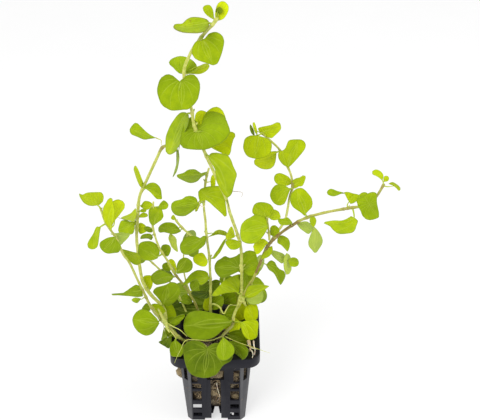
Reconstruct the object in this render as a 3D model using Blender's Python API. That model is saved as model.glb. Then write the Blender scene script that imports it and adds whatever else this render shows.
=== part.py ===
"""A creeping jenny in its square net pot: pot, rooting wool, stems and round leaves. Metres, +Z up.

The pot stands on z = 0 with its axis at x = y = 0, and +Y points away from the viewer. A place on the
plant is written as (across, down, near): the pixel of the 480 x 420 photograph where it is seen, and
how many mm it stands in front of the pot's middle plane. seen() turns that into a point.
"""

import math
from collections import namedtuple

import bmesh
import bpy
from mathutils import Matrix, Vector

MM = 0.001
GAP = 0.3 * MM

# The photograph's view
VIEW_FROM = Vector((15.5, -449.0, 429.0)) * MM
VIEW_DOWN = math.radians(31.8)
VIEW_FOCAL = 900.0
VIEW_MIDDLE = (240.0, 210.0)

# The pot, in mm
POT_HEIGHT = 60.0
RIM_HALF = 28.0
RIM_DROP = 5.8
RIM_CORNER = 8.0
BODY_TOP_HALF = 23.6
BODY_BASE_HALF = 18.8
BODY_FLAT = 15.9
WALL = 1.2
FLOOR = 1.5
RIM_EDGE = 0.5
SLOT_HALF = 3.2
SLOT_TOP = 37.6
WINDOW_FROM = 9.2
WINDOW_TO = 14.9
WINDOW_ROWS = ((29.0, 34.0), (18.6, 27.2), (10.8, 15.0), (3.6, 7.0))
TOP_WINDOW_ROW = (38.8, 46.0)
TOP_WINDOWS = ((-15.2, -11.4), (-5.4, 5.4), (11.4, 15.2))
CORNER_WINDOW_HALF = 2.6
FOOT_RISE = 1.8
FOOT_FROM = 7.5
HUB_HALF = 6.5
FLOOR_SLOT_INNER = 8.2
FLOOR_SLOT_HALVES = (1.2, 2.9)
CUT_PAST = 1.0
CUT_WITHIN = 3.0

# The rooting wool, in mm
WOOL_TOP = 49.0
WOOL_BASE = 10.6
WOOL_ROOM = 0.5
WOOL_ROUGHNESS = 0.7
WOOL_LEVELS = (0.0, 0.25, 0.5, 0.75, 1.0)
WOOL_WAVES = ((2.1, 1.3), (1.7, 0.9))

# Stems and leaves, in mm
STEM_STEP = 12.0
FINE_STEP = 0.5
ROOTED_BELOW = 53.0
LEAF_SIDES = 9
BROAD_LEAF_SIDES = 15
SMALL_LEAF_SIDES = 7
RINGED_LEAF_WIDTH = 14.0
NOTCH_SPREAD = 0.42
NOTCH_WIDE = 1.25
RING_REACH = 0.5
LEAF_THICK = 0.75
SMALL_LEAF_THICK = 0.9
PETIOLE_WIDE = 1.3
PETIOLE_LEAST = 2.0
STEEPEST_LEAN = 0.35

Stem = namedtuple("Stem", "wide narrow route")
Leaf = namedtuple("Leaf", "stem base tip lift width roll lobe droop cup egg", defaults=(0.0,))

STEMS = {
    "tall": Stem(1.9, 1.1, (
        (221, 350, 9), (221.5, 343, 8), (222, 336.5, 7), (226, 332, 4), (232.5, 325, 0), (233.5, 317, -3),
        (236, 310, -5), (241.2, 299, -6), (241.7, 284, -5), (241.5, 265, -3), (241.2, 251, -1),
        (239.5, 241, 1), (235.5, 228.5, 4), (229.7, 212, 7), (226, 198, 9), (216, 177, 12),
        (210.4, 164.6, 13), (204, 150.6, 15), (194.5, 126, 17), (191.4, 109, 18), (184, 74.6, 20),
        (189.7, 55, 22), (199.5, 39.5, 24), (213.8, 23, 26), (217.5, 17, 27),
    )),
    "arching": Stem(1.7, 0.9, (
        (244.4, 294.5, -4), (246.8, 289, -3), (253.6, 278, 0), (260, 263, 3), (268, 245.5, 6),
        (281, 233, 9), (292.7, 225, 12), (304.8, 218.4, 15), (323, 213, 19), (344.8, 208.8, 23),
        (357, 207, 25), (369, 205, 26), (377.5, 195, 26), (384, 184, 26),
    )),
    "upper_right": Stem(1.3, 0.9, (
        (272, 239.7, 4.6), (278, 231, 0), (285.4, 219, -5), (289.7, 197, -12), (292.4, 187.5, -15),
        (291.5, 177, -17), (288.3, 168, -18), (280.4, 151, -18), (271, 141, -17), (261, 132.5, -15),
    )),
    "short_right": Stem(1.1, 0.8, ((269.4, 240.2, 7.5), (269, 233, 6), (267.9, 226, 4), (267, 217, 2))),
    "middle": Stem(1.6, 0.9, (
        (213, 329, -12), (211, 318, -11), (210.5, 300, -9), (210.6, 285.5, -8), (210, 270, -8),
        (209.3, 256.5, -8), (206.4, 235, -9), (205.5, 221.5, -11), (203.4, 205, -13), (205.3, 185, -16),
        (206, 174, -17),
    )),
    "outer_left": Stem(1.7, 0.9, (
        (191, 344, 3), (186, 341.5, 8), (180.2, 338.2, 11), (174, 333, 11), (164.8, 323, 9),
        (160.8, 319.5, 9), (150.6, 306, 12), (145.3, 295.7, 15), (137.2, 279, 19), (129.6, 263, 23),
        (123, 254, 26), (117.4, 240, 29), (111, 230.5, 31), (104.6, 221, 32), (100.5, 208, 32),
    )),
    "left": Stem(1.5, 0.8, (
        (165.6, 320.5, 7), (165, 314, 3), (162, 306, 0), (150.6, 294.4, -3), (143, 282, -5),
        (139.6, 266, -7), (137.6, 249, -9), (136.6, 236, -10), (137.6, 214, -12), (139.5, 197, -13),
        (143, 187, -14), (156, 160, -16), (161.7, 143, -17),
    )),
    "inner_left": Stem(1.4, 0.8, (
        (204, 331, -12), (200, 316, -10), (194.5, 302, -7), (184, 285.5, -3), (175.8, 275, 1),
        (167, 260, 5), (158.7, 246.5, 9), (153, 228, 12), (152.5, 215, 14), (153.4, 202, 16),
    )),
    "thin_left": Stem(1.0, 0.7, (
        (204.4, 243, -10.5), (198, 241, -14), (191.5, 236, -17), (182, 227.5, -20), (175.5, 220, -22),
    )),
    "short_left": Stem(1.3, 0.9, (
        (197, 336, -7), (188, 316, -10), (180, 298, -14), (170, 282, -18), (160, 270, -21),
        (151, 261.5, -23),
    )),
    "front": Stem(1.4, 1.0, ((200.5, 352, 10), (200, 346.5, 14), (202.5, 344, 19), (206.8, 347.5, 24))),
    "back_left": Stem(1.4, 0.8, (
        (212, 325.5, -17), (200, 310, -18), (190, 292, -27), (184, 272, -35), (184, 250, -41),
        (188, 232, -45),
    )),
    "back_right": Stem(1.4, 0.8, (
        (228, 326, -16), (238, 312, -18), (246, 296, -27), (252, 278, -35), (254, 258, -41),
        (255, 238, -45), (257, 226, -46),
    )),
    "back_middle": Stem(1.4, 0.8, (
        (220, 324, -17), (221, 308, -19), (222, 290, -30), (226, 272, -39), (228, 260, -43),
    )),
}

# A leaf of its own: stem, where the blade starts, its tip, how far each stands nearer, width, turn about
# its midrib in degrees, lobes behind the petiole, droop and cup as shares of its length and width, and
# how much wider it is towards its tip
LEAVES = (
    Leaf("tall", (209.5, 23), (174, 27.5), (1, -2), 14.0, 55, 0.05, 0.05, 0.10),
    Leaf("tall", (202, 38.5), (213, 65.5), (3, 5), 16.5, 0, 0.16, 0.06, 0.06),
    Leaf("tall", (183.5, 72.5), (179.5, 57.5), (-2, -7), 14.0, -10, 0.10, 0.05, 0.08),
    Leaf("tall", (181, 80.5), (181.7, 110), (2, 6.5), 22.0, 0, 0.30, 0.12, 0.05),
    Leaf("tall", (187, 113.5), (169, 153), (-4, -5), 18.0, 52, 0.04, 0.02, 0.10),
    Leaf("tall", (197.5, 129), (203, 149.5), (4, 9), 27.5, 0, 0.72, 0.15, 0.04),
    Leaf("tall", (202, 127), (219.5, 109.5), (-4, -8), 13.0, 15, 0.10, 0.10, 0.10),
    Leaf("tall", (209, 139.5), (232.5, 147.5), (-5, -3), 16.0, 15, 0.05, 0.10, 0.10),
    Leaf("tall", (208, 155), (229.5, 198), (2.5, 8), 15.5, 32, 0.08, 0.10, 0.08),
    Leaf("middle", (206, 195.5), (226, 216.5), (4, 9), 16.0, 25, 0.12, 0.10, 0.10),
    Leaf("tall", (237.5, 268), (215, 267), (-2, -5), 15.0, 30, 0.08, 0.10, 0.08),
    Leaf("tall", (244, 269), (261, 261), (-2, -6), 16.0, 15, 0.08, 0.10, 0.08),
    Leaf("tall", (239.5, 294), (215.5, 283.5), (3, 8), 15.0, 38, 0.08, 0.12, 0.08),
    Leaf("tall", (246, 296.5), (269, 285.6), (9, 13), 13.0, 35, 0.08, 0.12, 0.08),
    Leaf("tall", (231, 322), (185, 326), (6, 12), 20.0, 28, 0.08, 0.15, 0.06),
    Leaf("front", (207.4, 351.5), (204, 376.5), (5.4, 12.4), 26.0, 0, 0.40, 0.08, -0.02),
    Leaf("tall", (241.5, 322), (250.5, 340.5), (7, 15), 13.5, 25, 0.08, 0.10, 0.08),
    Leaf("tall", (223.5, 338.8), (223.5, 360.5), (16.5, 28.5), 12.0, 5, 0.06, 0.0, 0.08),
    Leaf("middle", (202.5, 174), (177.5, 175.6), (3, 5), 15.0, 58, 0.04, 0.02, 0.10),
    Leaf("middle", (197.5, 203), (171.5, 207.5), (3, 6), 15.5, 42, 0.10, 0.15, 0.12),
    Leaf("middle", (201.5, 239.5), (179.6, 247), (4, 7), 14.0, 35, 0.08, 0.12, 0.10),
    Leaf("middle", (207.5, 278), (184, 284), (3, 8), 14.0, 40, 0.08, 0.12, 0.10),
    Leaf("outer_left", (101, 204.5), (79.4, 193.8), (1, 5), 13.0, 48, 0.06, 0.05, 0.10),
    Leaf("outer_left", (111.3, 228.5), (114.5, 198.5), (2, 4), 12.5, 0, 0.0, 0.10, 0.14, 0.3),
    Leaf("outer_left", (98, 228.5), (92.5, 250), (2, 5), 9.5, 35, 0.0, 0.05, 0.12, 0.3),
    Leaf("outer_left", (114.5, 238), (102, 251.5), (8, 15), 12.0, 15, 0.08, 0.15, 0.06),
    Leaf("outer_left", (121.5, 250), (139.5, 260.5), (-4, -6), 11.5, 40, 0.05, 0.10, 0.10),
    Leaf("outer_left", (140, 291), (124, 290.5), (1, 4), 12.0, 50, 0.05, 0.10, 0.10),
    Leaf("outer_left", (157, 322.5), (133.5, 319.5), (9, 13), 18.5, 0, 0.06, 0.15, 0.06),
    Leaf("left", (157, 138.5), (130, 129), (0, 2), 13.0, 40, 0.0, 0.05, 0.08, 0.45),
    Leaf("left", (145.5, 188.5), (161.5, 196), (2, 6), 11.0, 35, 0.06, 0.15, 0.08),
    Leaf("left", (164, 302), (168, 284), (6, 11), 15.5, 20, 0.08, 0.12, 0.08),
    Leaf("inner_left", (156.5, 257), (142.5, 249.5), (5, 9), 13.0, 15, 0.10, 0.12, 0.06),
    Leaf("inner_left", (176.5, 272), (187.5, 258.5), (3, 4), 9.5, 0, 0.04, 0.12, 0.08),
    Leaf("inner_left", (175, 277), (155, 280), (-4, -6), 11.0, 38, 0.05, 0.10, 0.08),
    Leaf("upper_right", (259, 134.5), (254.5, 158.5), (4, 8), 15.5, 0, 0.06, 0.12, 0.05),
    Leaf("upper_right", (275, 154), (255, 163), (-3, -3), 12.0, 35, 0.08, 0.12, 0.08),
    Leaf("upper_right", (288.3, 166.5), (299, 139.5), (2, 2), 14.5, 20, 0.0, 0.10, 0.10, 0.25),
    Leaf("upper_right", (289.5, 188.5), (275.5, 203.5), (4, 8), 11.5, 15, 0.06, 0.12, 0.06),
    Leaf("arching", (305.5, 214), (296, 189), (2, 2), 13.0, 5, 0.04, 0.10, 0.08),
    Leaf("arching", (315, 229), (314.5, 252.5), (-4, -3), 11.5, 145, 0.02, 0.05, 0.10),
    Leaf("arching", (354.5, 218), (324.5, 224), (3, 8), 14.0, 40, 0.06, 0.15, 0.08),
    Leaf("arching", (370, 205), (379, 219), (4, 7), 13.0, 15, 0.08, 0.12, 0.06),
    Leaf("short_right", (266.5, 226), (240.6, 232), (4, 6), 17.0, 8, 0.06, 0.12, 0.05),
)

# Leaves that are one piece with their stem: the youngest, and those that crowd behind
SMALL_LEAVES = (
    Leaf("tall", (217.3, 17), (224, 1.5), (0, 1), 7.3, 0, 0.0, 0.1, 0.1),
    Leaf("tall", (188, 73.5), (209, 65.4), (-3, -5), 10.0, 65, 0.0, 0.1, 0.1),
    Leaf("tall", (197, 125), (199.5, 110.5), (3, 4), 7.5, 0, 0.0, 0.1, 0.1),
    Leaf("tall", (177.5, 150), (173, 177), (-5, -5), 6.0, 70, 0.0, 0.1, 0.1),
    Leaf("tall", (237.5, 242.5), (227.5, 245.5), (2, 4), 6.5, 0, 0.0, 0.1, 0.1),
    Leaf("tall", (234.2, 236), (230.5, 226), (0.5, -1), 6.0, 50, 0.0, 0.1, 0.1),
    Leaf("tall", (247, 302), (253.5, 320), (-3, 1), 10.5, 20, 0.0, 0.1, 0.1),
    Leaf("tall", (229, 335), (246, 341), (-1, 0), 8.5, 20, 0.0, 0.1, 0.1),
    Leaf("tall", (232, 346), (243, 358), (1, 10), 9.0, 20, 0.0, 0.0, 0.1),
    Leaf("arching", (266.5, 242), (256, 253), (2, 3), 9.0, 20, 0.0, 0.1, 0.1),
    Leaf("arching", (279.5, 238), (288, 251.5), (-3, -2), 8.0, 10, 0.0, 0.1, 0.1),
    Leaf("arching", (270, 250.5), (284, 261), (-4, -6), 7.0, 150, 0.0, 0.1, 0.1),
    Leaf("arching", (286, 254), (287.2, 275), (-7, -7), 6.0, 130, 0.0, 0.1, 0.1),
    Leaf("arching", (267, 264.5), (281, 284.5), (1, 3), 8.5, 20, 0.0, 0.1, 0.1),
    Leaf("arching", (299, 222.5), (311, 231.5), (-3, -3), 7.0, 140, 0.0, 0.1, 0.1),
    Leaf("arching", (347, 205), (356, 192.5), (-1, -2), 7.5, 10, 0.0, 0.1, 0.1),
    Leaf("arching", (367, 202), (358.5, 195.5), (1, -1), 8.5, 20, 0.0, 0.1, 0.1),
    Leaf("arching", (383, 181.5), (372.5, 172.5), (1, 2), 5.5, 30, 0.0, 0.1, 0.1),
    Leaf("arching", (386.5, 182), (400.4, 190), (0, 1), 5.5, 45, 0.0, 0.1, 0.1),
    Leaf("upper_right", (262, 130.5), (280, 127), (0, 0), 9.0, 35, 0.0, 0.1, 0.1, 0.3),
    Leaf("upper_right", (289.5, 183.5), (275.5, 174.5), (-1, -2), 6.5, 20, 0.0, 0.1, 0.1),
    Leaf("upper_right", (294.5, 185.5), (305.5, 177), (0, -1), 6.5, 30, 0.0, 0.1, 0.1),
    Leaf("short_right", (265.5, 216.5), (254, 206.5), (-2, -3), 9.0, 15, 0.0, 0.1, 0.1),
    Leaf("short_right", (269, 215.5), (279.5, 213), (-3, -6), 8.0, 20, 0.0, 0.1, 0.1),
    Leaf("middle", (201.5, 201), (195.5, 211.5), (-3, -3), 6.0, 50, 0.0, 0.1, 0.1),
    Leaf("middle", (210.5, 233), (226.5, 236), (-3, -4), 8.0, 62, 0.0, 0.2, 0.1),
    Leaf("middle", (212.5, 258), (226, 241), (2, 3), 7.0, 60, 0.0, 0.1, 0.1),
    Leaf("middle", (207, 260), (194, 259.6), (2, 4), 9.0, 10, 0.0, 0.1, 0.1),
    Leaf("middle", (209, 291), (192, 291), (-3, -6), 9.0, 30, 0.0, 0.1, 0.1),
    Leaf("outer_left", (114, 225.5), (124, 202.5), (-3, -4), 8.0, 20, 0.0, 0.1, 0.1),
    Leaf("outer_left", (115, 234.5), (129.5, 237.5), (-4, -6), 8.0, 150, 0.0, 0.1, 0.1),
    Leaf("outer_left", (167.5, 331), (164, 341), (-3, -4), 7.0, 20, 0.0, 0.1, 0.1),
    Leaf("outer_left", (168, 338), (160, 347), (1, 4), 7.0, 20, 0.0, 0.1, 0.1),
    Leaf("outer_left", (175, 340), (178, 356), (3, 17), 9.5, 0, 0.0, 0.0, 0.1),
    Leaf("left", (142, 186), (135.5, 166.5), (1, 1), 8.0, 58, 0.0, 0.1, 0.1),
    Leaf("left", (134.5, 222), (119, 230.5), (2, 3), 8.5, 25, 0.0, 0.1, 0.1),
    Leaf("left", (135.5, 212), (121, 217), (1, 2), 7.0, 60, 0.0, 0.1, 0.1),
    Leaf("left", (147.3, 287.5), (151, 277), (-2.6, -6), 6.0, 20, 0.0, 0.1, 0.1),
    Leaf("inner_left", (174, 271), (171, 259), (-2, -3), 6.0, 30, 0.0, 0.1, 0.1),
    Leaf("inner_left", (162.5, 253.5), (169, 246), (-3.4, -6), 7.5, 10, 0.0, 0.1, 0.1),
    Leaf("inner_left", (154.5, 223.5), (159, 209.5), (2, 3), 9.5, 20, 0.0, 0.1, 0.1),
    Leaf("thin_left", (180.5, 230.5), (158.5, 227), (1, 1), 9.0, 40, 0.0, 0.3, 0.1),
    Leaf("thin_left", (171, 236), (175.5, 252), (-3, -4), 7.0, 140, 0.0, 0.1, 0.1),
    Leaf("short_left", (162, 269), (169.5, 281), (-2, -5), 9.0, 30, 0.0, 0.1, 0.1),
    Leaf("short_left", (150, 260), (140, 257), (0, -2), 9.0, 40, 0.0, 0.1, 0.1),
    Leaf("back_left", (188, 293), (170, 292), (-3, -12), 15.0, 20, 0.0, 0.1, 0.1),
    Leaf("back_left", (192, 291), (205, 282), (-3, -10), 13.0, -20, 0.0, 0.1, 0.1),
    Leaf("back_left", (186, 251), (198, 246), (-2, -8), 12.0, 0, 0.0, 0.1, 0.1),
    Leaf("back_left", (188.5, 231), (190, 245), (-3, -9), 11.0, 150, 0.0, 0.1, 0.1),
    Leaf("back_right", (248, 295), (266, 291), (-3, -12), 15.0, -20, 0.0, 0.1, 0.1),
    Leaf("back_right", (244, 296), (230, 296), (-2, -6), 14.0, 30, 0.0, 0.1, 0.1),
    Leaf("back_right", (252, 261), (235, 264), (-2, -9), 14.0, 20, 0.0, 0.1, 0.1),
    Leaf("back_right", (256, 259), (262, 268), (-3, -12), 12.0, 150, 0.0, 0.1, 0.1),
    Leaf("back_right", (257.5, 225), (248, 233), (-3, -9), 13.0, 150, 0.0, 0.1, 0.1),
    Leaf("back_middle", (220, 291), (205, 299), (-3, -12), 14.0, 20, 0.0, 0.1, 0.1),
    Leaf("back_middle", (224, 286), (233, 277), (-3, -12), 13.0, -20, 0.0, 0.1, 0.1),
    Leaf("back_middle", (228.5, 259), (222, 270), (-3, -9), 13.0, 150, 0.0, 0.1, 0.1),
)

POT_BLACK = (0.012, 0.012, 0.017)
WOOL_TAN = (0.30, 0.20, 0.09)
STEM_GREEN = (0.44, 0.50, 0.11)
LEAF_GREEN = (0.27, 0.46, 0.015)


def seen(across, down, near):
    """The point seen at that pixel of the photograph, near mm in front of the pot's middle plane."""
    ahead = Vector((0, math.cos(VIEW_DOWN), -math.sin(VIEW_DOWN)))
    upward = Vector((0, math.sin(VIEW_DOWN), math.cos(VIEW_DOWN)))
    sight = ahead + Vector((1, 0, 0)) * ((across - VIEW_MIDDLE[0]) / VIEW_FOCAL)
    sight += upward * ((VIEW_MIDDLE[1] - down) / VIEW_FOCAL)
    return VIEW_FROM + sight * ((-near * MM - VIEW_FROM.y) / sight.y)


def nearness(point):
    """How many mm a point stands in front of the pot's middle plane."""
    return -point.y / MM


def smooth_route(points, step):
    """Points a step apart along the smooth curve through the given points."""
    path = [points[0] * 2 - points[1], *points, points[-1] * 2 - points[-2]]
    fine = []
    for before, start, end, after in zip(path, path[1:], path[2:], path[3:]):
        pieces = max(2, round((end - start).length / (FINE_STEP * MM)))
        for k in range(pieces):
            t = k / pieces
            bend = (before * 2 - start * 5 + end * 4 - after) * t * t
            twist = (start * 3 - before - end * 3 + after) * t ** 3
            fine.append((start * 2 + (end - before) * t + bend + twist) * 0.5)
    fine.append(points[-1])
    length = sum((b - a).length for a, b in zip(fine, fine[1:]))
    count = max(2, round(length / step))
    route = [fine[0]]
    run = 0.0
    for a, b in zip(fine, fine[1:]):
        run += (b - a).length
        if run >= length / count * len(route) and len(route) < count:
            route.append(b)
    return route + [fine[-1]]


def stem_points(name):
    """The points a stem is drawn through. One that starts in the pot stands just clear of the wool."""
    stem = STEMS[name]
    points = [seen(*place) for place in stem.route]
    if points[0].z < ROOTED_BELOW * MM:
        points[0].z = (WOOL_TOP + stem.wide / 2) * MM + 2 * GAP
    return points


def material(name, colour, roughness):
    made = bpy.data.materials.new(name)
    made.use_nodes = True
    surface = made.node_tree.nodes["Principled BSDF"]
    surface.inputs["Base Color"].default_value = (*colour, 1.0)
    surface.inputs["Roughness"].default_value = roughness
    surface.inputs["Metallic"].default_value = 0.0
    made.diffuse_color = (*colour, 1.0)
    return made


def new_object(name, bm, finish=None):
    mesh = bpy.data.meshes.new(name)
    bm.to_mesh(mesh)
    bm.free()
    made = bpy.data.objects.new(name, mesh)
    bpy.context.scene.collection.objects.link(made)
    if finish:
        mesh.materials.append(finish)
    return made


def as_helper(tool):
    """A cutter, or a piece that is joined to another: it isn't part of the object by itself."""
    tool.hide_render = True
    tool.display_type = "WIRE"
    return tool


def combine(target, tools, operation):
    """A Boolean that cuts, or joins, all the tools at once."""
    group = bpy.data.collections.new(target.name + "_tools")
    for tool in tools:
        group.objects.link(as_helper(tool))
    change = target.modifiers.new(operation.lower(), "BOOLEAN")
    change.operation = operation
    change.operand_type = "COLLECTION"
    change.collection = group
    change.solver = "EXACT"


def ring_point(number, half, flat, rounding, height):
    """A point of a square with cut corners, four to a corner: half its width and half its flat side, in
    mm. A rounding of 0 leaves the corners straight cuts, and 1 makes them arcs."""
    quarter, step = divmod(number, 4)
    corner = half - flat
    turn = math.radians(30 * step)
    arc = Vector((flat + corner * math.cos(turn), flat + corner * math.sin(turn)))
    cut = Vector((half - corner * step / 3, flat + corner * step / 3))
    x, y = cut.lerp(arc, rounding)
    return Matrix.Rotation(math.radians(90 * quarter), 3, "Z") @ Vector((x, y, height)) * MM


def face_outward(bm):
    """Turns a closed shape's faces outwards, thin or folded as it may be."""
    bmesh.ops.recalc_face_normals(bm, faces=bm.faces)
    if bm.calc_volume(signed=True) < 0:
        bmesh.ops.reverse_faces(bm, faces=bm.faces)


def lofted(levels):
    """A closed shape drawn through square rings, each given as half, flat, rounding and height."""
    bm = bmesh.new()
    number = bm.verts.layers.int.new("number")
    corners = [bm.verts.new(ring_point(k, *levels[0])) for k in range(16)]
    for k, vert in enumerate(corners):
        vert[number] = k
    base = bm.faces.new(corners)
    end = base
    for level in levels[1:]:
        left_behind = end
        for item in bmesh.ops.extrude_face_region(bm, geom=[end])["geom"]:
            if isinstance(item, bmesh.types.BMVert):
                item.co = ring_point(item[number], *level)
            elif isinstance(item, bmesh.types.BMFace):
                end = item
        if left_behind is not base:
            bm.faces.remove(left_behind)
    face_outward(bm)
    return bm


def block(name, low, high, quarter=0.0):
    """A box between two corners in mm, turned about the pot's axis by that many quarters."""
    bm = bmesh.new()
    middle = (Vector(low) + Vector(high)) * 0.5 * MM
    size = (Vector(high) - Vector(low)) * MM
    bmesh.ops.create_cube(bm, size=1.0, matrix=Matrix.Translation(middle) @ Matrix.Diagonal((*size, 1.0)))
    bmesh.ops.rotate(bm, verts=bm.verts, matrix=Matrix.Rotation(math.radians(90 * quarter), 3, "Z"))
    return new_object(name, bm)


def body_half(height):
    """Half the pot's outer width at a height, in mm."""
    return BODY_BASE_HALF + (BODY_TOP_HALF - BODY_BASE_HALF) * height / POT_HEIGHT


def make_pot():
    inner_flat = BODY_FLAT - WALL * (math.sqrt(2) - 1)
    floor_top = FOOT_RISE + FLOOR
    rim_flat = RIM_HALF - RIM_CORNER
    skirt = RIM_HALF - WALL
    lip = POT_HEIGHT - WALL
    pot = new_object("pot", lofted((
        (BODY_BASE_HALF, BODY_FLAT, 0, 0),
        (body_half(lip), BODY_FLAT, 0, lip),
        (skirt, rim_flat, 1, lip),
        (skirt, rim_flat, 1, POT_HEIGHT - RIM_DROP),
        (RIM_HALF, rim_flat, 1, POT_HEIGHT - RIM_DROP),
        (RIM_HALF, rim_flat, 1, POT_HEIGHT - RIM_EDGE),
        (RIM_HALF - RIM_EDGE, rim_flat, 1, POT_HEIGHT),
        (body_half(POT_HEIGHT) - WALL, inner_flat, 0, POT_HEIGHT),
        (body_half(floor_top) - WALL, inner_flat, 0, floor_top),
    )), material("black_plastic", POT_BLACK, 0.38))
    cutters = []
    for quarter in range(4):
        cutters += side_cutters(quarter)
    combine(pot, cutters, "DIFFERENCE")
    return pot


def side_cutters(quarter):
    """The openings of one side: slot, windows, corner window, the gap between feet, the floor's slot."""
    outside = -RIM_HALF
    inside = -(BODY_BASE_HALF - WALL - CUT_WITHIN)
    spans = [((-SLOT_HALF, -CUT_PAST), (SLOT_HALF, SLOT_TOP))]
    for low, high in WINDOW_ROWS:
        spans.append(((WINDOW_FROM, low), (WINDOW_TO, high)))
        spans.append(((-WINDOW_TO, low), (-WINDOW_FROM, high)))
    for left, right in TOP_WINDOWS:
        spans.append(((left, TOP_WINDOW_ROW[0]), (right, TOP_WINDOW_ROW[1])))
    cutters = []
    for number, ((left, low), (right, high)) in enumerate(spans):
        name = f"opening_{quarter}_{number}"
        cutters.append(block(name, (left, outside, low), (right, inside, high), quarter))
    corner = block(
        f"corner_{quarter}", (-CORNER_WINDOW_HALF, outside * math.sqrt(2), TOP_WINDOW_ROW[0]),
        (CORNER_WINDOW_HALF, -BODY_BASE_HALF, TOP_WINDOW_ROW[1]), quarter + 0.5,
    )
    foot_gap = block(
        f"foot_gap_{quarter}", (-FOOT_FROM, outside, -CUT_PAST), (FOOT_FROM, -HUB_HALF, FOOT_RISE), quarter,
    )
    return cutters + [corner, foot_gap, floor_slot(quarter)]


def floor_slot(quarter):
    """The floor's slot on one side, which widens from the hub to the wall."""
    narrow, wide = FLOOR_SLOT_HALVES
    hub = -FLOOR_SLOT_INNER
    wall = -BODY_BASE_HALF
    corners = ((-narrow, hub), (narrow, hub), (wide, wall), (-wide, wall))
    bm = bmesh.new()
    base = bm.faces.new([bm.verts.new(Vector((x, y, -CUT_PAST)) * MM) for x, y in corners])
    raised = bmesh.ops.extrude_face_region(bm, geom=[base])
    top = [item for item in raised["geom"] if isinstance(item, bmesh.types.BMVert)]
    bmesh.ops.translate(bm, verts=top, vec=Vector((0, 0, FOOT_RISE + FLOOR + 2 * CUT_PAST)) * MM)
    face_outward(bm)
    bmesh.ops.rotate(bm, verts=bm.verts, matrix=Matrix.Rotation(math.radians(90 * quarter), 3, "Z"))
    return new_object(f"floor_slot_{quarter}", bm)


def make_wool():
    """The block of rooting wool, which fills the pot and is rough all over."""
    flat = BODY_FLAT - WALL
    heights = [WOOL_BASE + (WOOL_TOP - WOOL_BASE) * share for share in WOOL_LEVELS]
    bm = lofted([(body_half(z) - WALL - WOOL_ROOM, flat, 0, z) for z in heights])
    (across_x, up_x), (across_y, up_y) = WOOL_WAVES
    for vert in bm.verts:
        x, y, z = vert.co / MM
        rough = 0.5 + 0.5 * math.sin(across_x * x + up_x * z) * math.cos(across_y * y - up_y * z)
        pull = 1 - WOOL_ROUGHNESS * rough / math.hypot(x, y)
        vert.co.x *= pull
        vert.co.y *= pull
        if z > WOOL_TOP - CUT_PAST:
            vert.co.z -= WOOL_ROUGHNESS * rough * MM
        elif z < WOOL_BASE + CUT_PAST:
            vert.co.z += WOOL_ROUGHNESS * rough * MM
    return new_object("rooting_wool", bm, material("rooting_wool", WOOL_TAN, 0.95))


def make_stem(name, finish):
    """A stem as a tapered tube along its route."""
    stem = STEMS[name]
    route = smooth_route(stem_points(name), STEM_STEP * MM)
    curve = bpy.data.curves.new(name + "_line", "CURVE")
    curve.dimensions = "3D"
    curve.bevel_depth = stem.wide / 2 * MM
    curve.bevel_resolution = 1
    curve.use_fill_caps = True
    line = curve.splines.new("POLY")
    line.points.add(len(route) - 1)
    for number, (point, place) in enumerate(zip(line.points, route)):
        share = number / (len(route) - 1)
        point.co = (*place, 1.0)
        point.radius = 1 - (1 - stem.narrow / stem.wide) * share
    tube = bpy.data.objects.new(name + "_tube", curve)
    bpy.context.scene.collection.objects.link(tube)
    graph = bpy.context.evaluated_depsgraph_get()
    mesh = bpy.data.meshes.new_from_object(tube.evaluated_get(graph))
    bpy.data.objects.remove(tube)
    bm = bmesh.new()
    bm.from_mesh(mesh)
    bpy.data.meshes.remove(mesh)
    bmesh.ops.remove_doubles(bm, verts=bm.verts, dist=0.001 * MM)
    face_outward(bm)
    return new_object(name + "_stem", bm, finish)


def leaf_places(leaf):
    """Where the petiole meets its stem's middle line, where the blade starts, its tip, and how far from
    the middle line the petiole is clear of the stem."""
    stem = STEMS[leaf.stem]
    route = smooth_route(stem_points(leaf.stem), STEM_STEP * MM)
    fine = [a.lerp(b, k / 10) for a, b in zip(route, route[1:]) for k in range(10)] + [route[-1]]
    sight = (seen(*leaf.base, 0) - VIEW_FROM).normalized()
    number = min(range(len(fine) - 1), key=lambda k: (fine[k] - VIEW_FROM).cross(sight).length)
    joint = fine[number]
    run = (fine[number + 1] - fine[max(number - 1, 0)]).normalized()
    base = seen(*leaf.base, nearness(joint) + leaf.lift[0])
    tip = seen(*leaf.tip, nearness(joint) + leaf.lift[1])
    share = number / (len(fine) - 1)
    surface = (stem.wide + (stem.narrow - stem.wide) * share) / 2 * MM
    away = (base - joint).normalized()
    lean = abs(away.dot(run))
    rise = max(math.sqrt(1 - lean ** 2), STEEPEST_LEAN)
    clear = (surface + GAP + PETIOLE_WIDE / 2 * MM * lean) / rise
    least = clear + PETIOLE_LEAST * MM
    if (base - joint).length < least:
        toward = (base - joint) + (tip - base).normalized() * least
        base = joint + toward.normalized() * least
    return joint, base, tip, clear


def leaf_frame(leaf, base, tip):
    """The blade's axes: across, along the midrib, and out of the face that the viewer sees."""
    along = (tip - base).normalized()
    outward = VIEW_FROM - (base + tip) / 2
    outward = (outward - along * outward.dot(along)).normalized()
    outward = Matrix.Rotation(math.radians(leaf.roll), 3, along) @ outward
    across = along.cross(outward)
    return Matrix((across, along, outward)).transposed()


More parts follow.
